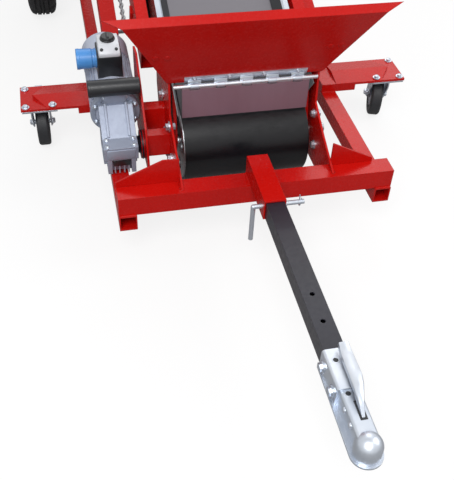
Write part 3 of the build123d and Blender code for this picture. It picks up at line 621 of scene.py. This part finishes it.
# %% Leaf screws, tabs and plug welds
LEAN = math.radians(22.8)
leaf_low = Vector((0.0, BEAM_FRONT + 0.232, 0.440))
leaf_up = Vector((0.0, -math.sin(LEAN), math.cos(LEAN)))
leaf_out = Vector((0.0, -math.cos(LEAN), -math.sin(LEAN)))


def on_leaf(x, up, out=0.0):
    return leaf_low + RIGHT * x + leaf_up * up + leaf_out * out


bolt_set("leaf_screws", (0.0055, 0.004, 0.0075),
         [(on_leaf(x, 0.015, 0.0035), leaf_out) for x in (-0.15, -0.05, 0.05, 0.15)])
TAB_HALF = 0.019
bend = [on_leaf(0.0, up, out) - HINGE for up, out in (
    (0.010, 0.0028), (-0.001, 0.0040), (-0.0022, 0.0102), (0.0, 0.0112), (0.0105, 0.0046))]
for i, x in enumerate((-0.150, -0.075, 0.0, 0.075, 0.150)):
    prism(f"leaf_tab_{i + 1}", 0.0, [(place.y, place.z) for place in bend], (x - TAB_HALF, x + TAB_HALF),
          ZINC, "chassis", 0.0005)
for i, (x, up) in enumerate(((-0.262, 0.115), (-0.230, 0.112), (0.222, 0.112), (0.254, 0.116))):
    turned(f"plate_weld_{i + 1}", 16, ((-0.0004, 0.0), (-0.0004, 0.010), (0.0009, 0.0085), (0.0012, 0.0)),
           on_leaf(x, up), leaf_out, RED, start=(1, 0, 0))

# %% [markdown]
# ## Weld beads
# Tubes and plates meet in fillet welds under the paint. A second tree sweeps a small round
# section along a line and swells it every few millimetres, which gives the ripple.

# %% Weld tree
beads, given = new_tree("weld_beads", (("Bead Radius", 0.004), ("Ripple Pitch", 0.004)))


def every_other(tree):
    count = put(tree, "GeometryNodeInputIndex")
    return put(tree, "ShaderNodeMath", {"operation": "PINGPONG"}, _0=count.outputs[0], _1=1.0).outputs[0]


line = put(beads, "GeometryNodeMeshToCurve", Mesh=given["Geometry"])
steps = put(beads, "GeometryNodeResampleCurve", {"mode": "LENGTH"},
            Curve=line.outputs[0], Length=given["Ripple Pitch"])
swell = put(beads, "ShaderNodeMapRange", Value=every_other(beads), To_Min=0.8, To_Max=1.08)
girth = put(beads, "GeometryNodeSetCurveRadius", Curve=steps.outputs[0], Radius=swell.outputs[0])
section = put(beads, "GeometryNodeCurvePrimitiveCircle", Resolution=8, Radius=given["Bead Radius"])
tube = put(beads, "GeometryNodeCurveToMesh", Curve=girth.outputs[0], Profile_Curve=section.outputs[0],
           Fill_Caps=True)
if "Scale" in tube.inputs:
    beads.links.new(put(beads, "GeometryNodeInputRadius").outputs[0], tube.inputs["Scale"])
end_tree(beads, tube.outputs[0], given)

# %% [markdown]
# Each row is one straight weld on both sides of the machine: where it starts and ends,
# across and along, and its height. One more runs across behind the hitch socket.

# %% Chassis welds
SKID_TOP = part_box("skid_left")[1][2] - SKID_UNDER
BEAM_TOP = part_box("cross_beam")[1][2] - SKID_UNDER
GUSSET_END = {-1: 0.395, 1: 0.348}
lines = []
for _, sign in SIDES:
    for x0, y0, x1, y1, z in (
        (0.031, 0.004, 0.031, 0.058, BEAM_TOP),
        (0.2235, 0.016, 0.2235, 0.058, BEAM_TOP),
        (0.226, 0.059, GUSSET_END[sign], 0.059, BEAM_TOP),
        (0.352, 0.061, 0.398, 0.061, SKID_TOP),
        (0.352, -0.001, 0.398, -0.001, SKID_TOP),
        (0.352, 0.517, 0.398, 0.517, SKID_TOP),
        (0.369, 0.655, 0.405, 0.655, ARM_TOP - SKID_UNDER),
    ):
        lines += [from_beam(sign * x0, y0, z), from_beam(sign * x1, y1, z)]
lines += [from_beam(x, 0.060, BEAM_TOP + 0.001) for x in (-0.028, 0.028)]
grow("chassis_welds", beads, "chassis",
     {"Bead Radius": 0.0036, "Ripple Pitch": 0.0042, "Finish": paint[RED]},
     lines, edges=[(i, i + 1) for i in range(0, len(lines), 2)])

# %% [markdown]
# ## Switch box and inlet
# On the motor sits a black terminal box under a pale lid with a round knob. The box is drawn
# from its lower front corner in the gearmotor's plane, and its lid slopes at the front.

# %% Switch box
GEAR_X = -0.368
BOX_S, BOX_N, BOX_LONG = 0.132, 0.156, 0.080
run, rise = along(GEAR_LEAN)


def gear_block(name, outline, half, look, round_by, x=GEAR_X):
    return prism(name, GEAR_LEAN, outline, (x - half, x + half), look, "chassis", round_by)


def on_box(*points):
    return [(BOX_S + s, BOX_N + n) for s, n in points]


base = gear_block("terminal_box", on_box(*rectangle(0.0, BOX_LONG, -0.006, 0.068)), 0.036,
                  BLACK, 0.004)
gear_block("switch_lid", on_box((0.001, 0.062), (BOX_LONG, 0.062), (BOX_LONG, 0.093), (0.024, 0.093), (0.001, 0.076)),
           0.031, "pale_moulded_plastic", 0.004)
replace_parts(base, "switch_box")
gear_block("box_foot", on_box(*rectangle(0.006, 0.074, -0.014, -0.004)), 0.037, BLACK, 0.002)
turned("switch_knob", 36,
       ((0.0, 0.0), (0.0, 0.022), (0.003, 0.022), (0.004, 0.020), (0.010, 0.019), (0.012, 0.0175), (0.012, 0.0)),
       on_plane(GEAR_LEAN, GEAR_X, BOX_S + 0.053, BOX_N + 0.0925), rise, BLACK, start=run)
gear_block("knob_grip", on_box((0.038, 0.102), (0.068, 0.102), (0.066, 0.108), (0.040, 0.108)), 0.004,
           BLACK, 0.0015)
slope_out = (rise * 0.023 - run * 0.017).normalized()
bolt_set("lid_screws", (0.0035, 0.002, 0.0048),
         [(on_plane(GEAR_LEAN, GEAR_X + dx, BOX_S + 0.0125, BOX_N + 0.0845), slope_out) for dx in (-0.021, 0.021)],
         look=BLACK)

# %% [markdown]
# The blue round inlet on the box's left side is a moulded cup with a collar, three pins and
# a rib round its mouth. Its profile runs up the outside, over the rim and down to the floor
# of the cup, so the hollow is real.

# %% Power inlet
PIN_RING = 0.0095
inlet_at = on_plane(GEAR_LEAN, GEAR_X - 0.038, BOX_S + 0.047, BOX_N + 0.034)
cup = lathe(48, ((-0.004, 0.0), (-0.004, 0.0285), (0.003, 0.0285), (0.004, 0.0265), (0.010, 0.0265), (0.012, 0.0285),
                 (0.046, 0.0292), (0.047, 0.0300), (0.0555, 0.0300), (0.056, 0.0292), (0.056, 0.0250), (0.02, 0.0240),
                 (0.02, 0.0)), inlet_at, LEFT, (0, 0, 1))
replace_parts(piece("inlet_cup", cup, "blue_moulded_plastic", "chassis"), "power_inlet")
for i, turn in enumerate((90, 210, 330)):
    a = math.radians(turn)
    turned(f"inlet_pin_{i + 1}", 14, ((-0.002, 0.0), (-0.002, 0.003), (0.026, 0.003), (0.028, 0.002), (0.028, 0.0)),
           inlet_at + Vector((-0.02, PIN_RING * math.cos(a), PIN_RING * math.sin(a))), LEFT, STEEL)

# %% [markdown]
# ## Gearmotor
# The motor's barrel carries cooling ribs along its length. Ribs repeat round the axis, so a
# third tree sets small blocks, each with a direction outwards and one along. Modelling one
# rib and an array on an empty would do too, but points leave out the ribs under the box.

# %% Block tree
blocks, given = new_tree("set_blocks", (("Length", 0.02), ("Width", 0.003), ("Height", 0.006)))
extent = put(blocks, "ShaderNodeCombineXYZ", X=given["Length"], Y=given["Width"], Z=given["Height"])
brick = put(blocks, "GeometryNodeMeshCube", Size=extent.outputs[0])
facing = put(blocks, "FunctionNodeAxesToRotation", {"primary_axis": "Z", "secondary_axis": "X"},
             Primary_Axis=stored(blocks, "out"), Secondary_Axis=stored(blocks, "along"))
end_tree(blocks, every_point(blocks, given["Geometry"], brick.outputs["Mesh"], facing.outputs[0]), given)

# %% [markdown]
# A cast flange ring with bolts joins gearbox and motor. A fan cover with a ring grille closes
# the motor's far end. Both are lathe shapes on the motor's axis.

# %% Motor ribs, flange and fan cover
RIBS, RIB_MIDDLE_R, RIB_MIDDLE_S, UNDER_BOX = 40, 0.0675, 0.120, (50.0, 130.0)
axis_at = on_plane(GEAR_LEAN, GEAR_X, 0.048, 0.090)


def round_motor(degrees, radius):
    a = math.radians(degrees)
    return RIGHT * (radius * math.cos(a)) + rise * (radius * math.sin(a))


turns = [360.0 * i / RIBS for i in range(RIBS)]
turns = [turn for turn in turns if not UNDER_BOX[0] < turn < UNDER_BOX[1]]
grow("motor_ribs", blocks, "chassis",
     {"Length": 0.184, "Width": 0.0028, "Height": 0.007, "Finish": paint["light_grey_enamel"]},
     [axis_at + run * RIB_MIDDLE_S + round_motor(turn, RIB_MIDDLE_R) for turn in turns],
     {"out": [round_motor(turn, 1.0) for turn in turns], "along": [run] * len(turns)})
turned("motor_flange", 64,
       ((-0.003, 0.058), (-0.003, 0.0705), (-0.001, 0.0726), (0.012, 0.0726), (0.014, 0.071), (0.014, 0.058)),
       axis_at, run, CAST, start=rise)
for i, radius in enumerate((0.020, 0.034, 0.048, 0.060)):
    turned(f"fan_grille_{i + 1}", 48,
           ((0.2995, radius), (0.3015, radius + 0.001), (0.3015, radius + 0.004), (0.2995, radius + 0.005)),
           axis_at, run, BLACK, start=rise)

# %% [markdown]
# The gearbox is a casting with a bolted cover and two ribs on its neck. Its mouth behind the fins is a thin black
# block, painted shade for the dark of the opening. The can above it gets a rolled cap at each end.

# %% Gearbox details
FLANGE_BOLT_R = 0.0635
gear_spots = [(axis_at + round_motor(turn, FLANGE_BOLT_R) - run * 0.003, -run) for turn in (25, 62, 118, 155, 205, 335)]
gear_spots += [(on_plane(GEAR_LEAN, GEAR_X + dx, s, n), rise)
               for dx in (-0.038, 0.038) for s, n in ((-0.080, 0.0715), (-0.052, 0.0728))]
bolt_set("gear_bolts", (0.0055, 0.005, 0.008), gear_spots)
gear_block("gear_cover", rectangle(-0.090, -0.087, 0.030, 0.064), 0.040, CAST, 0.001)
# A thin black block on the gearbox's face: painted shade for its dark mouth.
gear_block("gear_mouth_painted_shade", rectangle(-0.0886, -0.080, 0.004, 0.026), 0.024, BLACK, 0.0004)
gear_block("flange_pad", [(0.0352, 0.122), (0.0368, 0.122), (0.0368, 0.170), (0.0352, 0.166)], 0.031,
           CAST, 0.0004)
for i, dx in enumerate((-0.030, 0.030)):
    gear_block(f"gear_neck_rib_{i + 1}", [(-0.044, 0.068), (0.034, 0.128), (0.034, 0.138), (-0.044, 0.078)], 0.004,
               CAST, 0.0015, GEAR_X + dx)
CAN_R, CAN_EDGE_R, CAN_ROLL = 0.0247, 0.0225, 0.002
for i, (a0, a1) in enumerate(((-0.0005, 0.010), (0.136, 0.1465))):
    turned(f"can_cap_{i + 1}", 36,
           ((a0, 0.0), (a0, CAN_EDGE_R), (a0 + CAN_ROLL, CAN_R), (a1 - CAN_ROLL, CAN_R), (a1, CAN_EDGE_R), (a1, 0.0)),
           on_plane(GEAR_LEAN, GEAR_X - 0.074, 0.042, 0.186), RIGHT, BLACK)

# %% [markdown]
# ## Coupling
# The coupling is pressed zinc-plated steel. Its lever is a bent channel, so a U section is
# carried along the lever's line, wide at the grip and narrow at the latch. Each row is the
# place across, ahead of the beam and above the sleeve, and the section's width.

# %% Coupling lever
SLEEVE_TOP = SKID_UNDER + BEAM_TOP + 0.059
LEVER = (
    (0.005, 0.806, -0.012, 0.35), (0.006, 0.788, 0.000, 0.5), (0.009, 0.766, 0.008, 0.8),
    (0.013, 0.742, 0.012, 1.15), (0.015, 0.720, 0.014, 1.3), (0.015, 0.700, 0.014, 1.3),
    (0.015, 0.668, 0.014, 1.25), (0.015, 0.650, 0.016, 1.15), (0.015, 0.636, 0.020, 1.0),
)
CHANNEL = ((-0.011, -0.007), (-0.008, -0.007), (-0.0075, 0.0015), (0.0075, 0.0015), (0.008, -0.007), (0.011, -0.007),
           (0.0105, 0.003), (0.008, 0.005), (-0.008, 0.005), (-0.0105, 0.003))


def on_sleeve(x, ahead, above):
    return Vector((x, BEAM_FRONT - ahead, SLEEVE_TOP + above))


lever_line = [on_sleeve(x, ahead, above) for x, ahead, above, _ in LEVER]
sections = []
for i, (place, (_, _, _, width)) in enumerate(zip(lever_line, LEVER)):
    way = lever_line[min(i + 1, len(LEVER) - 1)] - lever_line[max(i - 1, 0)]
    top = RIGHT.cross(way).normalized()
    top = top if top.z > 0 else -top
    sections.append([place + RIGHT * (width * a) + top * b for a, b in CHANNEL])
lever = piece("formed_lever", loft(sections), ZINC, "chassis", 50.0)
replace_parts(lever, "coupling_handle")

# %% [markdown]
# Bolts pass through the sleeve, and two round holes show on its top with a pressed rim. A black disc in each hole is
# painted shade for its dark inside. Two rivets hold the latch, whose tongue stands in a slot in the neck, a step lower.
# The slot is a black strip, painted shade.

# %% Coupling bolts, holes and latch
NECK_DROP = 0.007
bolt_set("coupling_bolts", (0.0105, 0.008, 0.014),
         [(on_sleeve(sign * 0.0302, ahead, -0.034), RIGHT * sign) for ahead in (0.652, 0.716) for _, sign in SIDES])
for i, (x, ahead, drop) in enumerate(((-0.008, 0.664, 0.0), (-0.007, 0.746, NECK_DROP))):
    hole_at = on_sleeve(x, ahead, -drop)
    turned(f"sleeve_eyelet_{i + 1}", 28, ((-0.0004, 0.0056), (0.0007, 0.0060), (0.0007, 0.0078), (-0.0004, 0.0086)),
           hole_at, UP, ZINC, start=(1, 0, 0))
    # A black disc inside each eyelet: painted shade for the hole's dark inside.
    turned(f"sleeve_hole_painted_shade_{i + 1}", 28, ((0.0003, 0.0), (0.0003, 0.0062), (-0.0004, 0.0062), (-0.0004, 0.0)),
           hole_at, UP, BLACK, start=(1, 0, 0))
for i, (x, ahead) in enumerate(((-0.0235, 0.775), (-0.0237, 0.812))):
    turned(f"coupling_rivet_{i + 1}", 20,
           ((-0.004, 0.0), (-0.004, 0.0075), (0.001, 0.0072), (0.0035, 0.005), (0.0045, 0.0)),
           on_sleeve(x, ahead, -0.020), LEFT, ZINC)


def on_neck(*points):
    places = [on_sleeve(0.0, ahead, above - NECK_DROP) - HINGE for ahead, above in points]
    return [(place.y, place.z) for place in places]


# A thin black strip: painted shade in the neck's slot, behind the latch's tongue.
prism("latch_slot_painted_shade", 0.0, on_neck((0.765, -0.002), (0.812, -0.002), (0.812, 0.0006), (0.765, 0.0006)),
      (-0.003, 0.013), BLACK, "chassis", 0.0002)
prism("latch_tongue", 0.0, on_neck((0.770, 0.0), (0.798, 0.0), (0.796, 0.007), (0.782, 0.013), (0.770, 0.012)),
      (0.001, 0.009), ZINC, "chassis", 0.0015)

# %% [markdown]
# ## Pin clip
# A spring clip keeps the hitch pin in its holes. It is one bent wire: a curve with a round
# bevel, turned into a mesh. A curve bends more evenly than a lofted tube with few rows.

# %% Spring clip
def wire(name, points, radius, look, body):
    data = bpy.data.curves.new(name, "CURVE")
    data.dimensions = "3D"
    data.bevel_depth = radius
    data.bevel_resolution = 3
    data.use_fill_caps = True
    spline = data.splines.new("NURBS")
    spline.points.add(len(points) - 1)
    for p, place in zip(spline.points, points):
        p.co = (*place, 1.0)
    spline.order_u = 3
    spline.use_endpoint_u = True
    stand = bpy.data.objects.new(name, data)
    scene.collection.objects.link(stand)
    mesh = bpy.data.meshes.new_from_object(stand.evaluated_get(bpy.context.evaluated_depsgraph_get()))
    bpy.data.objects.remove(stand)
    return piece(name, mesh, look, body)


CLIP_YZ = ((-0.004, 0.016), (-0.001, 0.008), (0.0, 0.0), (0.001, -0.010), (0.006, -0.020), (0.014, -0.019),
           (0.015, -0.009), (0.010, -0.002), (0.0105, 0.006), (0.012, 0.014))
clip_at = from_beam(0.076, -0.125, BEAM_TOP + 0.034)
wire("pin_clip", [clip_at + Vector((0, y, z)) for y, z in CLIP_YZ], 0.0016, ZINC, "chassis")
turned("pin_collar", 28, ((0.0, 0.0066), (0.0, 0.0115), (0.0035, 0.0115), (0.0035, 0.0066)),
       clip_at + LEFT * 0.045, RIGHT, ZINC)

# %% [markdown]
# ## Belt skirts
# Rubber strips close the gap between belt and guide boards, held by a plated clamp strip
# with screws. Bent sheet panels guide the load beside the flap. All are one section carried
# along the boom. The right panel starts further back, behind its side plate.

# %% Skirts
SKIRT = ((0.1945, 0.134), (0.1945, 0.149), (0.190, 0.150), (0.163, 0.1235), (0.166, 0.1205), (0.189, 0.134))
CLAMP = ((0.1875, 0.149), (0.1925, 0.1535), (0.2075, 0.1535), (0.2075, 0.1515), (0.1935, 0.1515), (0.1888, 0.1475))
PANEL = ((0.1915, 0.1235), (0.1945, 0.152), (0.2050, 0.188), (0.2074, 0.188), (0.1970, 0.152), (0.1940, 0.1235))
SKIRT_RUN, PANEL_START = (0.16, 0.20, 0.45, 0.70, 0.98), {"left": -0.036, "right": 0.035}
SCREWS, SCREW_PITCH = 7, 0.125
skirt_spots = []
for label, sign in SIDES:
    panel_run = (PANEL_START[label], 0.08, 0.16)
    for name, section, stations, look, angle in (
        ("belt_skirt", SKIRT, SKIRT_RUN, "black_skirt_rubber", 40.0),
        ("skirt_clamp", CLAMP, SKIRT_RUN, ZINC, 40.0),
        ("guide_panel", PANEL, panel_run, "galvanised_sheet", 30.0),
    ):
        rows = [[on_plane(INCLINE, sign * x, s, n) for x, n in section] for s in stations]
        piece(f"{name}_{label}", loft(rows), look, "boom", angle)
    for k in range(SCREWS):
        skirt_spots.append((on_plane(INCLINE, sign * 0.200, 0.20 + SCREW_PITCH * k, 0.1540), along(INCLINE)[1]))
bolt_set("skirt_screws", (0.0042, 0.0035, 0.006), skirt_spots, "boom")

# %% [markdown]
# ## Chain
# A link chain beside the left rail pulls the extension out. A fourth tree lays one oval link
# on every step of a closed path and turns every other link on its side.

# %% Chain tree
chain, given = new_tree("chain_links", (
    ("Link Pitch", 0.0127), ("Link Length", 0.020), ("Link Width", 0.010), ("Wire Radius", 0.0022)))
line = put(chain, "GeometryNodeMeshToCurve", Mesh=given["Geometry"])
steps = put(chain, "GeometryNodeCurveToPoints", {"mode": "LENGTH"}, Curve=line.outputs[0], Length=given["Link Pitch"])
hoop = put(chain, "GeometryNodeCurvePrimitiveCircle", Resolution=10, Radius=1.0)
stretch = put(chain, "ShaderNodeCombineXYZ", X=times(chain, given["Link Width"], 0.5),
              Y=times(chain, given["Link Length"], 0.5), Z=1.0)
oval = put(chain, "GeometryNodeTransform", Geometry=hoop.outputs[0], Scale=stretch.outputs[0],
           Rotation=(math.pi / 2, 0, 0))
section = put(chain, "GeometryNodeCurvePrimitiveCircle", Resolution=5, Radius=given["Wire Radius"])
link = put(chain, "GeometryNodeCurveToMesh", Curve=oval.outputs[0], Profile_Curve=section.outputs[0])
quarter = times(chain, every_other(chain), math.pi / 2)
spin = put(chain, "FunctionNodeAxisAngleToRotation", Axis=(0, 0, 1), Angle=quarter)
facing = put(chain, "FunctionNodeRotateRotation", {"rotation_space": "LOCAL"},
             Rotation=steps.outputs["Rotation"], Rotate_By=spin.outputs[0])
end_tree(chain, every_point(chain, steps.outputs[0], link.outputs[0], facing.outputs[0]), given)

# %% [markdown]
# The chain's path is two straight runs and two half circles round its wheels. Each wheel
# sits on a stub at a hanger plate on the rail's side.

# %% Extension chain
CHAIN_X, CHAIN_N, WHEEL_R, ARC_STEPS = -0.291, -0.021, 0.013, 7
CHAIN_ENDS = (0.46, 2.70)
loop = [on_plane(INCLINE, CHAIN_X, s, CHAIN_N + WHEEL_R) for s in CHAIN_ENDS]
for s, start in ((CHAIN_ENDS[1], 90), (CHAIN_ENDS[0], 270)):
    for k in range(1, ARC_STEPS + 1):
        a = math.radians(start - 180 * k / ARC_STEPS)
        loop.append(on_plane(INCLINE, CHAIN_X, s + WHEEL_R * math.cos(a), CHAIN_N + WHEEL_R * math.sin(a)))
loop.pop()
grow("extension_chain", chain, "boom",
     {"Link Pitch": 0.0135, "Link Length": 0.0195, "Link Width": 0.0095, "Wire Radius": 0.0021,
      "Finish": paint[STEEL]},
     loop, edges=[(i, (i + 1) % len(loop)) for i in range(len(loop))])
for i, s in enumerate(CHAIN_ENDS):
    turned(f"chain_wheel_{i + 1}", 24,
           ((0.0, 0.0), (0.0, 0.008), (0.016, 0.008), (0.017, 0.0105), (0.029, 0.0105), (0.030, 0.0)),
           on_plane(INCLINE, -RAIL_SIDE, s, CHAIN_N), LEFT, STEEL, "boom")
    prism(f"chain_hanger_{i + 1}", INCLINE,
          [(s - 0.014, CHAIN_N - 0.012), (s + 0.014, CHAIN_N - 0.012), (s + 0.016, 0.060), (s - 0.016, 0.060)],
          (-RAIL_SIDE - 0.006, -RAIL_SIDE), RED, "boom", 0.001)

# %% [markdown]
# ## Wheels
# The tyres get a road tread: ribs between grooves that run round the tyre, with cross cuts
# that alternate at the shoulders. The CAD tyre stays for contact, and this mesh stands for
# it. The rows below are half of a section: across, radius, and which part of the tyre it is.

# %% Tyres
TREAD, GROOVE, SHOULDER, WALL = range(4)
HALF_TYRE = (
    (0.000, 0.2045, TREAD), (0.0035, 0.2045, TREAD), (0.0045, 0.199, GROOVE), (0.0085, 0.199, GROOVE),
    (0.0095, 0.2044, TREAD), (0.0235, 0.2038, TREAD), (0.0245, 0.198, GROOVE), (0.0285, 0.1975, GROOVE),
    (0.0295, 0.203, TREAD), (0.038, 0.2005, SHOULDER), (0.0455, 0.1955, SHOULDER), (0.0505, 0.188, SHOULDER),
    (0.0535, 0.180, WALL), (0.0568, 0.166, WALL), (0.0575, 0.152, WALL), (0.0560, 0.139, WALL),
    (0.0520, 0.127, WALL), (0.0470, 0.1185, WALL), (0.0440, 0.1125, WALL),
)
TYRE_RINGS, CUT_EVERY, BEAD_X, BEAD_R = 150, 6, 0.044, 0.1122
SHOULDER_CUT, TREAD_CUT, MIDDLE_RIB = 0.0065, 0.0035, 0.009
axle_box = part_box("tyre_left")
AXLE = Vector((0.0, (axle_box[0][1] + axle_box[1][1]) / 2, (axle_box[0][2] + axle_box[1][2]) / 2))
across = [(-x, r, part) for x, r, part in reversed(HALF_TYRE[1:])] + list(HALF_TYRE)
across += [(BEAD_X, BEAD_R, WALL), (-BEAD_X, BEAD_R, WALL)]


def cut_depth(ring, x, part):
    step = (ring + (0 if x > 0 else CUT_EVERY // 2)) % CUT_EVERY
    if part == SHOULDER and step < 2:
        return SHOULDER_CUT
    return TREAD_CUT if part == TREAD and abs(x) > MIDDLE_RIB and step == 0 else 0.0


def round_axle(x, radius, a):
    return Vector((x, AXLE.y + radius * math.cos(a), AXLE.z + radius * math.sin(a)))


def tyre_mesh(middle):
    shape = bmesh.new()
    rows = []
    for i in range(TYRE_RINGS):
        a = 2.0 * math.pi * i / TYRE_RINGS
        rows.append([shape.verts.new(round_axle(middle + x, r - cut_depth(i, x, part), a)) for x, r, part in across])
    return wrap(shape, rows, closed=True)


print("axle at", AXLE)

# %% [markdown]
# Each road wheel takes its tyre, five nuts on the rim's face and a pressed cap on the hub.

# %% Road wheels
NUTS, NUT_RING, RIM_FACE, HUB_END = 5, 0.055, 0.012, 0.0401
for label, sign in SIDES:
    middle = (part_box("tyre_" + label)[0][0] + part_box("tyre_" + label)[1][0]) / 2
    out = RIGHT * sign
    mesh = tyre_mesh(middle)
    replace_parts(piece(f"road_tyre_{label}", mesh, "road_tyre_rubber", f"wheel_{label}", 25.0), f"tyre_{label}")
    nut_x = middle + sign * (RIM_FACE + WASHER / 2)
    bolt_set(f"wheel_nuts_{label}", (0.010, 0.012, 0.013),
             [(round_axle(nut_x, NUT_RING, 2.0 * math.pi * k / NUTS), out) for k in range(NUTS)], f"wheel_{label}")
    turned(f"hub_cap_{label}", 36,
           ((0.0, 0.0), (0.0, 0.028), (0.006, 0.027), (0.010, 0.022), (0.012, 0.010), (0.012, 0.0)),
           AXLE + RIGHT * (middle + sign * HUB_END), out, ZINC, f"wheel_{label}")

# %% [markdown]
# ## Casters and lift
# Axle nuts, hub covers and the ball race finish the casters. The right fork stands turned,
# as in the picture, so its pieces are set out along its own spindle.

# %% Casters
STEER = {"left": 0.0, "right": math.radians(-18.0)}
FORK_HALF, HUB_HALF, RACE_UNDER = 0.0325, 0.0141, 0.1795
HUB_COVER = ((0.0, 0.0085), (0.0, 0.050), (0.0015, 0.051), (0.003, 0.048), (0.0045, 0.024), (0.0055, 0.018),
             (0.0055, 0.0085))
for label, steer in STEER.items():
    low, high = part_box("caster_wheel_" + label)
    hub = (Vector(low) + Vector(high)) / 2
    spindle = Vector((math.cos(steer), math.sin(steer), 0.0))
    bolt_set(f"caster_nuts_{label}", (0.010, 0.008, 0.013),
             [(hub + spindle * (side * FORK_HALF), spindle * side) for side in (-1, 1)], f"caster_swivel_{label}")
    for end, side in (("inner", -1), ("outer", 1)):
        turned(f"caster_hub_{label}_{end}", 32, HUB_COVER,
               hub + spindle * (side * HUB_HALF), spindle * side, "light_grey_enamel", f"caster_wheel_{label}")
    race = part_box("caster_mount_" + label)
    turned(f"ball_race_{label}", 40,
           ((0.0, 0.020), (0.0, 0.036), (0.003, 0.0375), (0.008, 0.036), (0.0085, 0.0305), (0.004, 0.0302)),
           Vector(((race[0][0] + race[1][0]) / 2, (race[0][1] + race[1][1]) / 2, RACE_UNDER)), UP,
           ZINC, start=(1, 0, 0))

# %% [markdown]
# The lift cylinders get a gland nut at the mouth of the barrel and a port boss at its foot.
# Both are placed along the line from the cylinder's foot on the axle to the eye on the boom.

# %% Lift cylinders
LIFT_X, BARREL_LONG, PORT_UP, BARREL_R = 0.415, 0.350, 0.075, 0.030
GLAND = ((-0.028, 0.0322), (-0.028, 0.0345), (-0.004, 0.0345), (0.0, 0.032), (0.0035, 0.023), (0.0035, 0.0186),
         (-0.002, 0.0186))
PORT = ((-0.002, 0.0), (-0.002, 0.012), (0.008, 0.012), (0.009, 0.0085), (0.016, 0.0085), (0.017, 0.0))
for label, sign in SIDES:
    foot = Vector((sign * LIFT_X, AXLE.y, AXLE.z + 0.070))
    way = (on_plane(INCLINE, sign * LIFT_X, 1.330, 0.030) - foot).normalized()
    turned(f"gland_nut_{label}", 32, GLAND,
           foot + way * BARREL_LONG, way, BLACK, f"lift_barrel_{label}", (1, 0, 0))
    turned(f"lift_port_{label}", 24, PORT,
           foot + way * PORT_UP + RIGHT * (sign * BARREL_R), RIGHT * sign, ZINC, f"lift_barrel_{label}")

# %% [markdown]
# ## Tube ends
# The cross beam's ends are closed by thin welded caps, flat plates a little smaller than
# the tube.

# %% End caps
CAP_IN, CAP_OUT = 0.396, 0.3996
cap = rectangle(0.001, 0.059, SKID_TOP + 0.001, BEAM_TOP - 0.001)
for label, sign in SIDES:
    rows = [[from_beam(sign * x, y, z) for y, z in cap] for x in (CAP_IN, CAP_OUT)]
    piece(f"beam_cap_{label}", loft(rows), RED, "chassis")
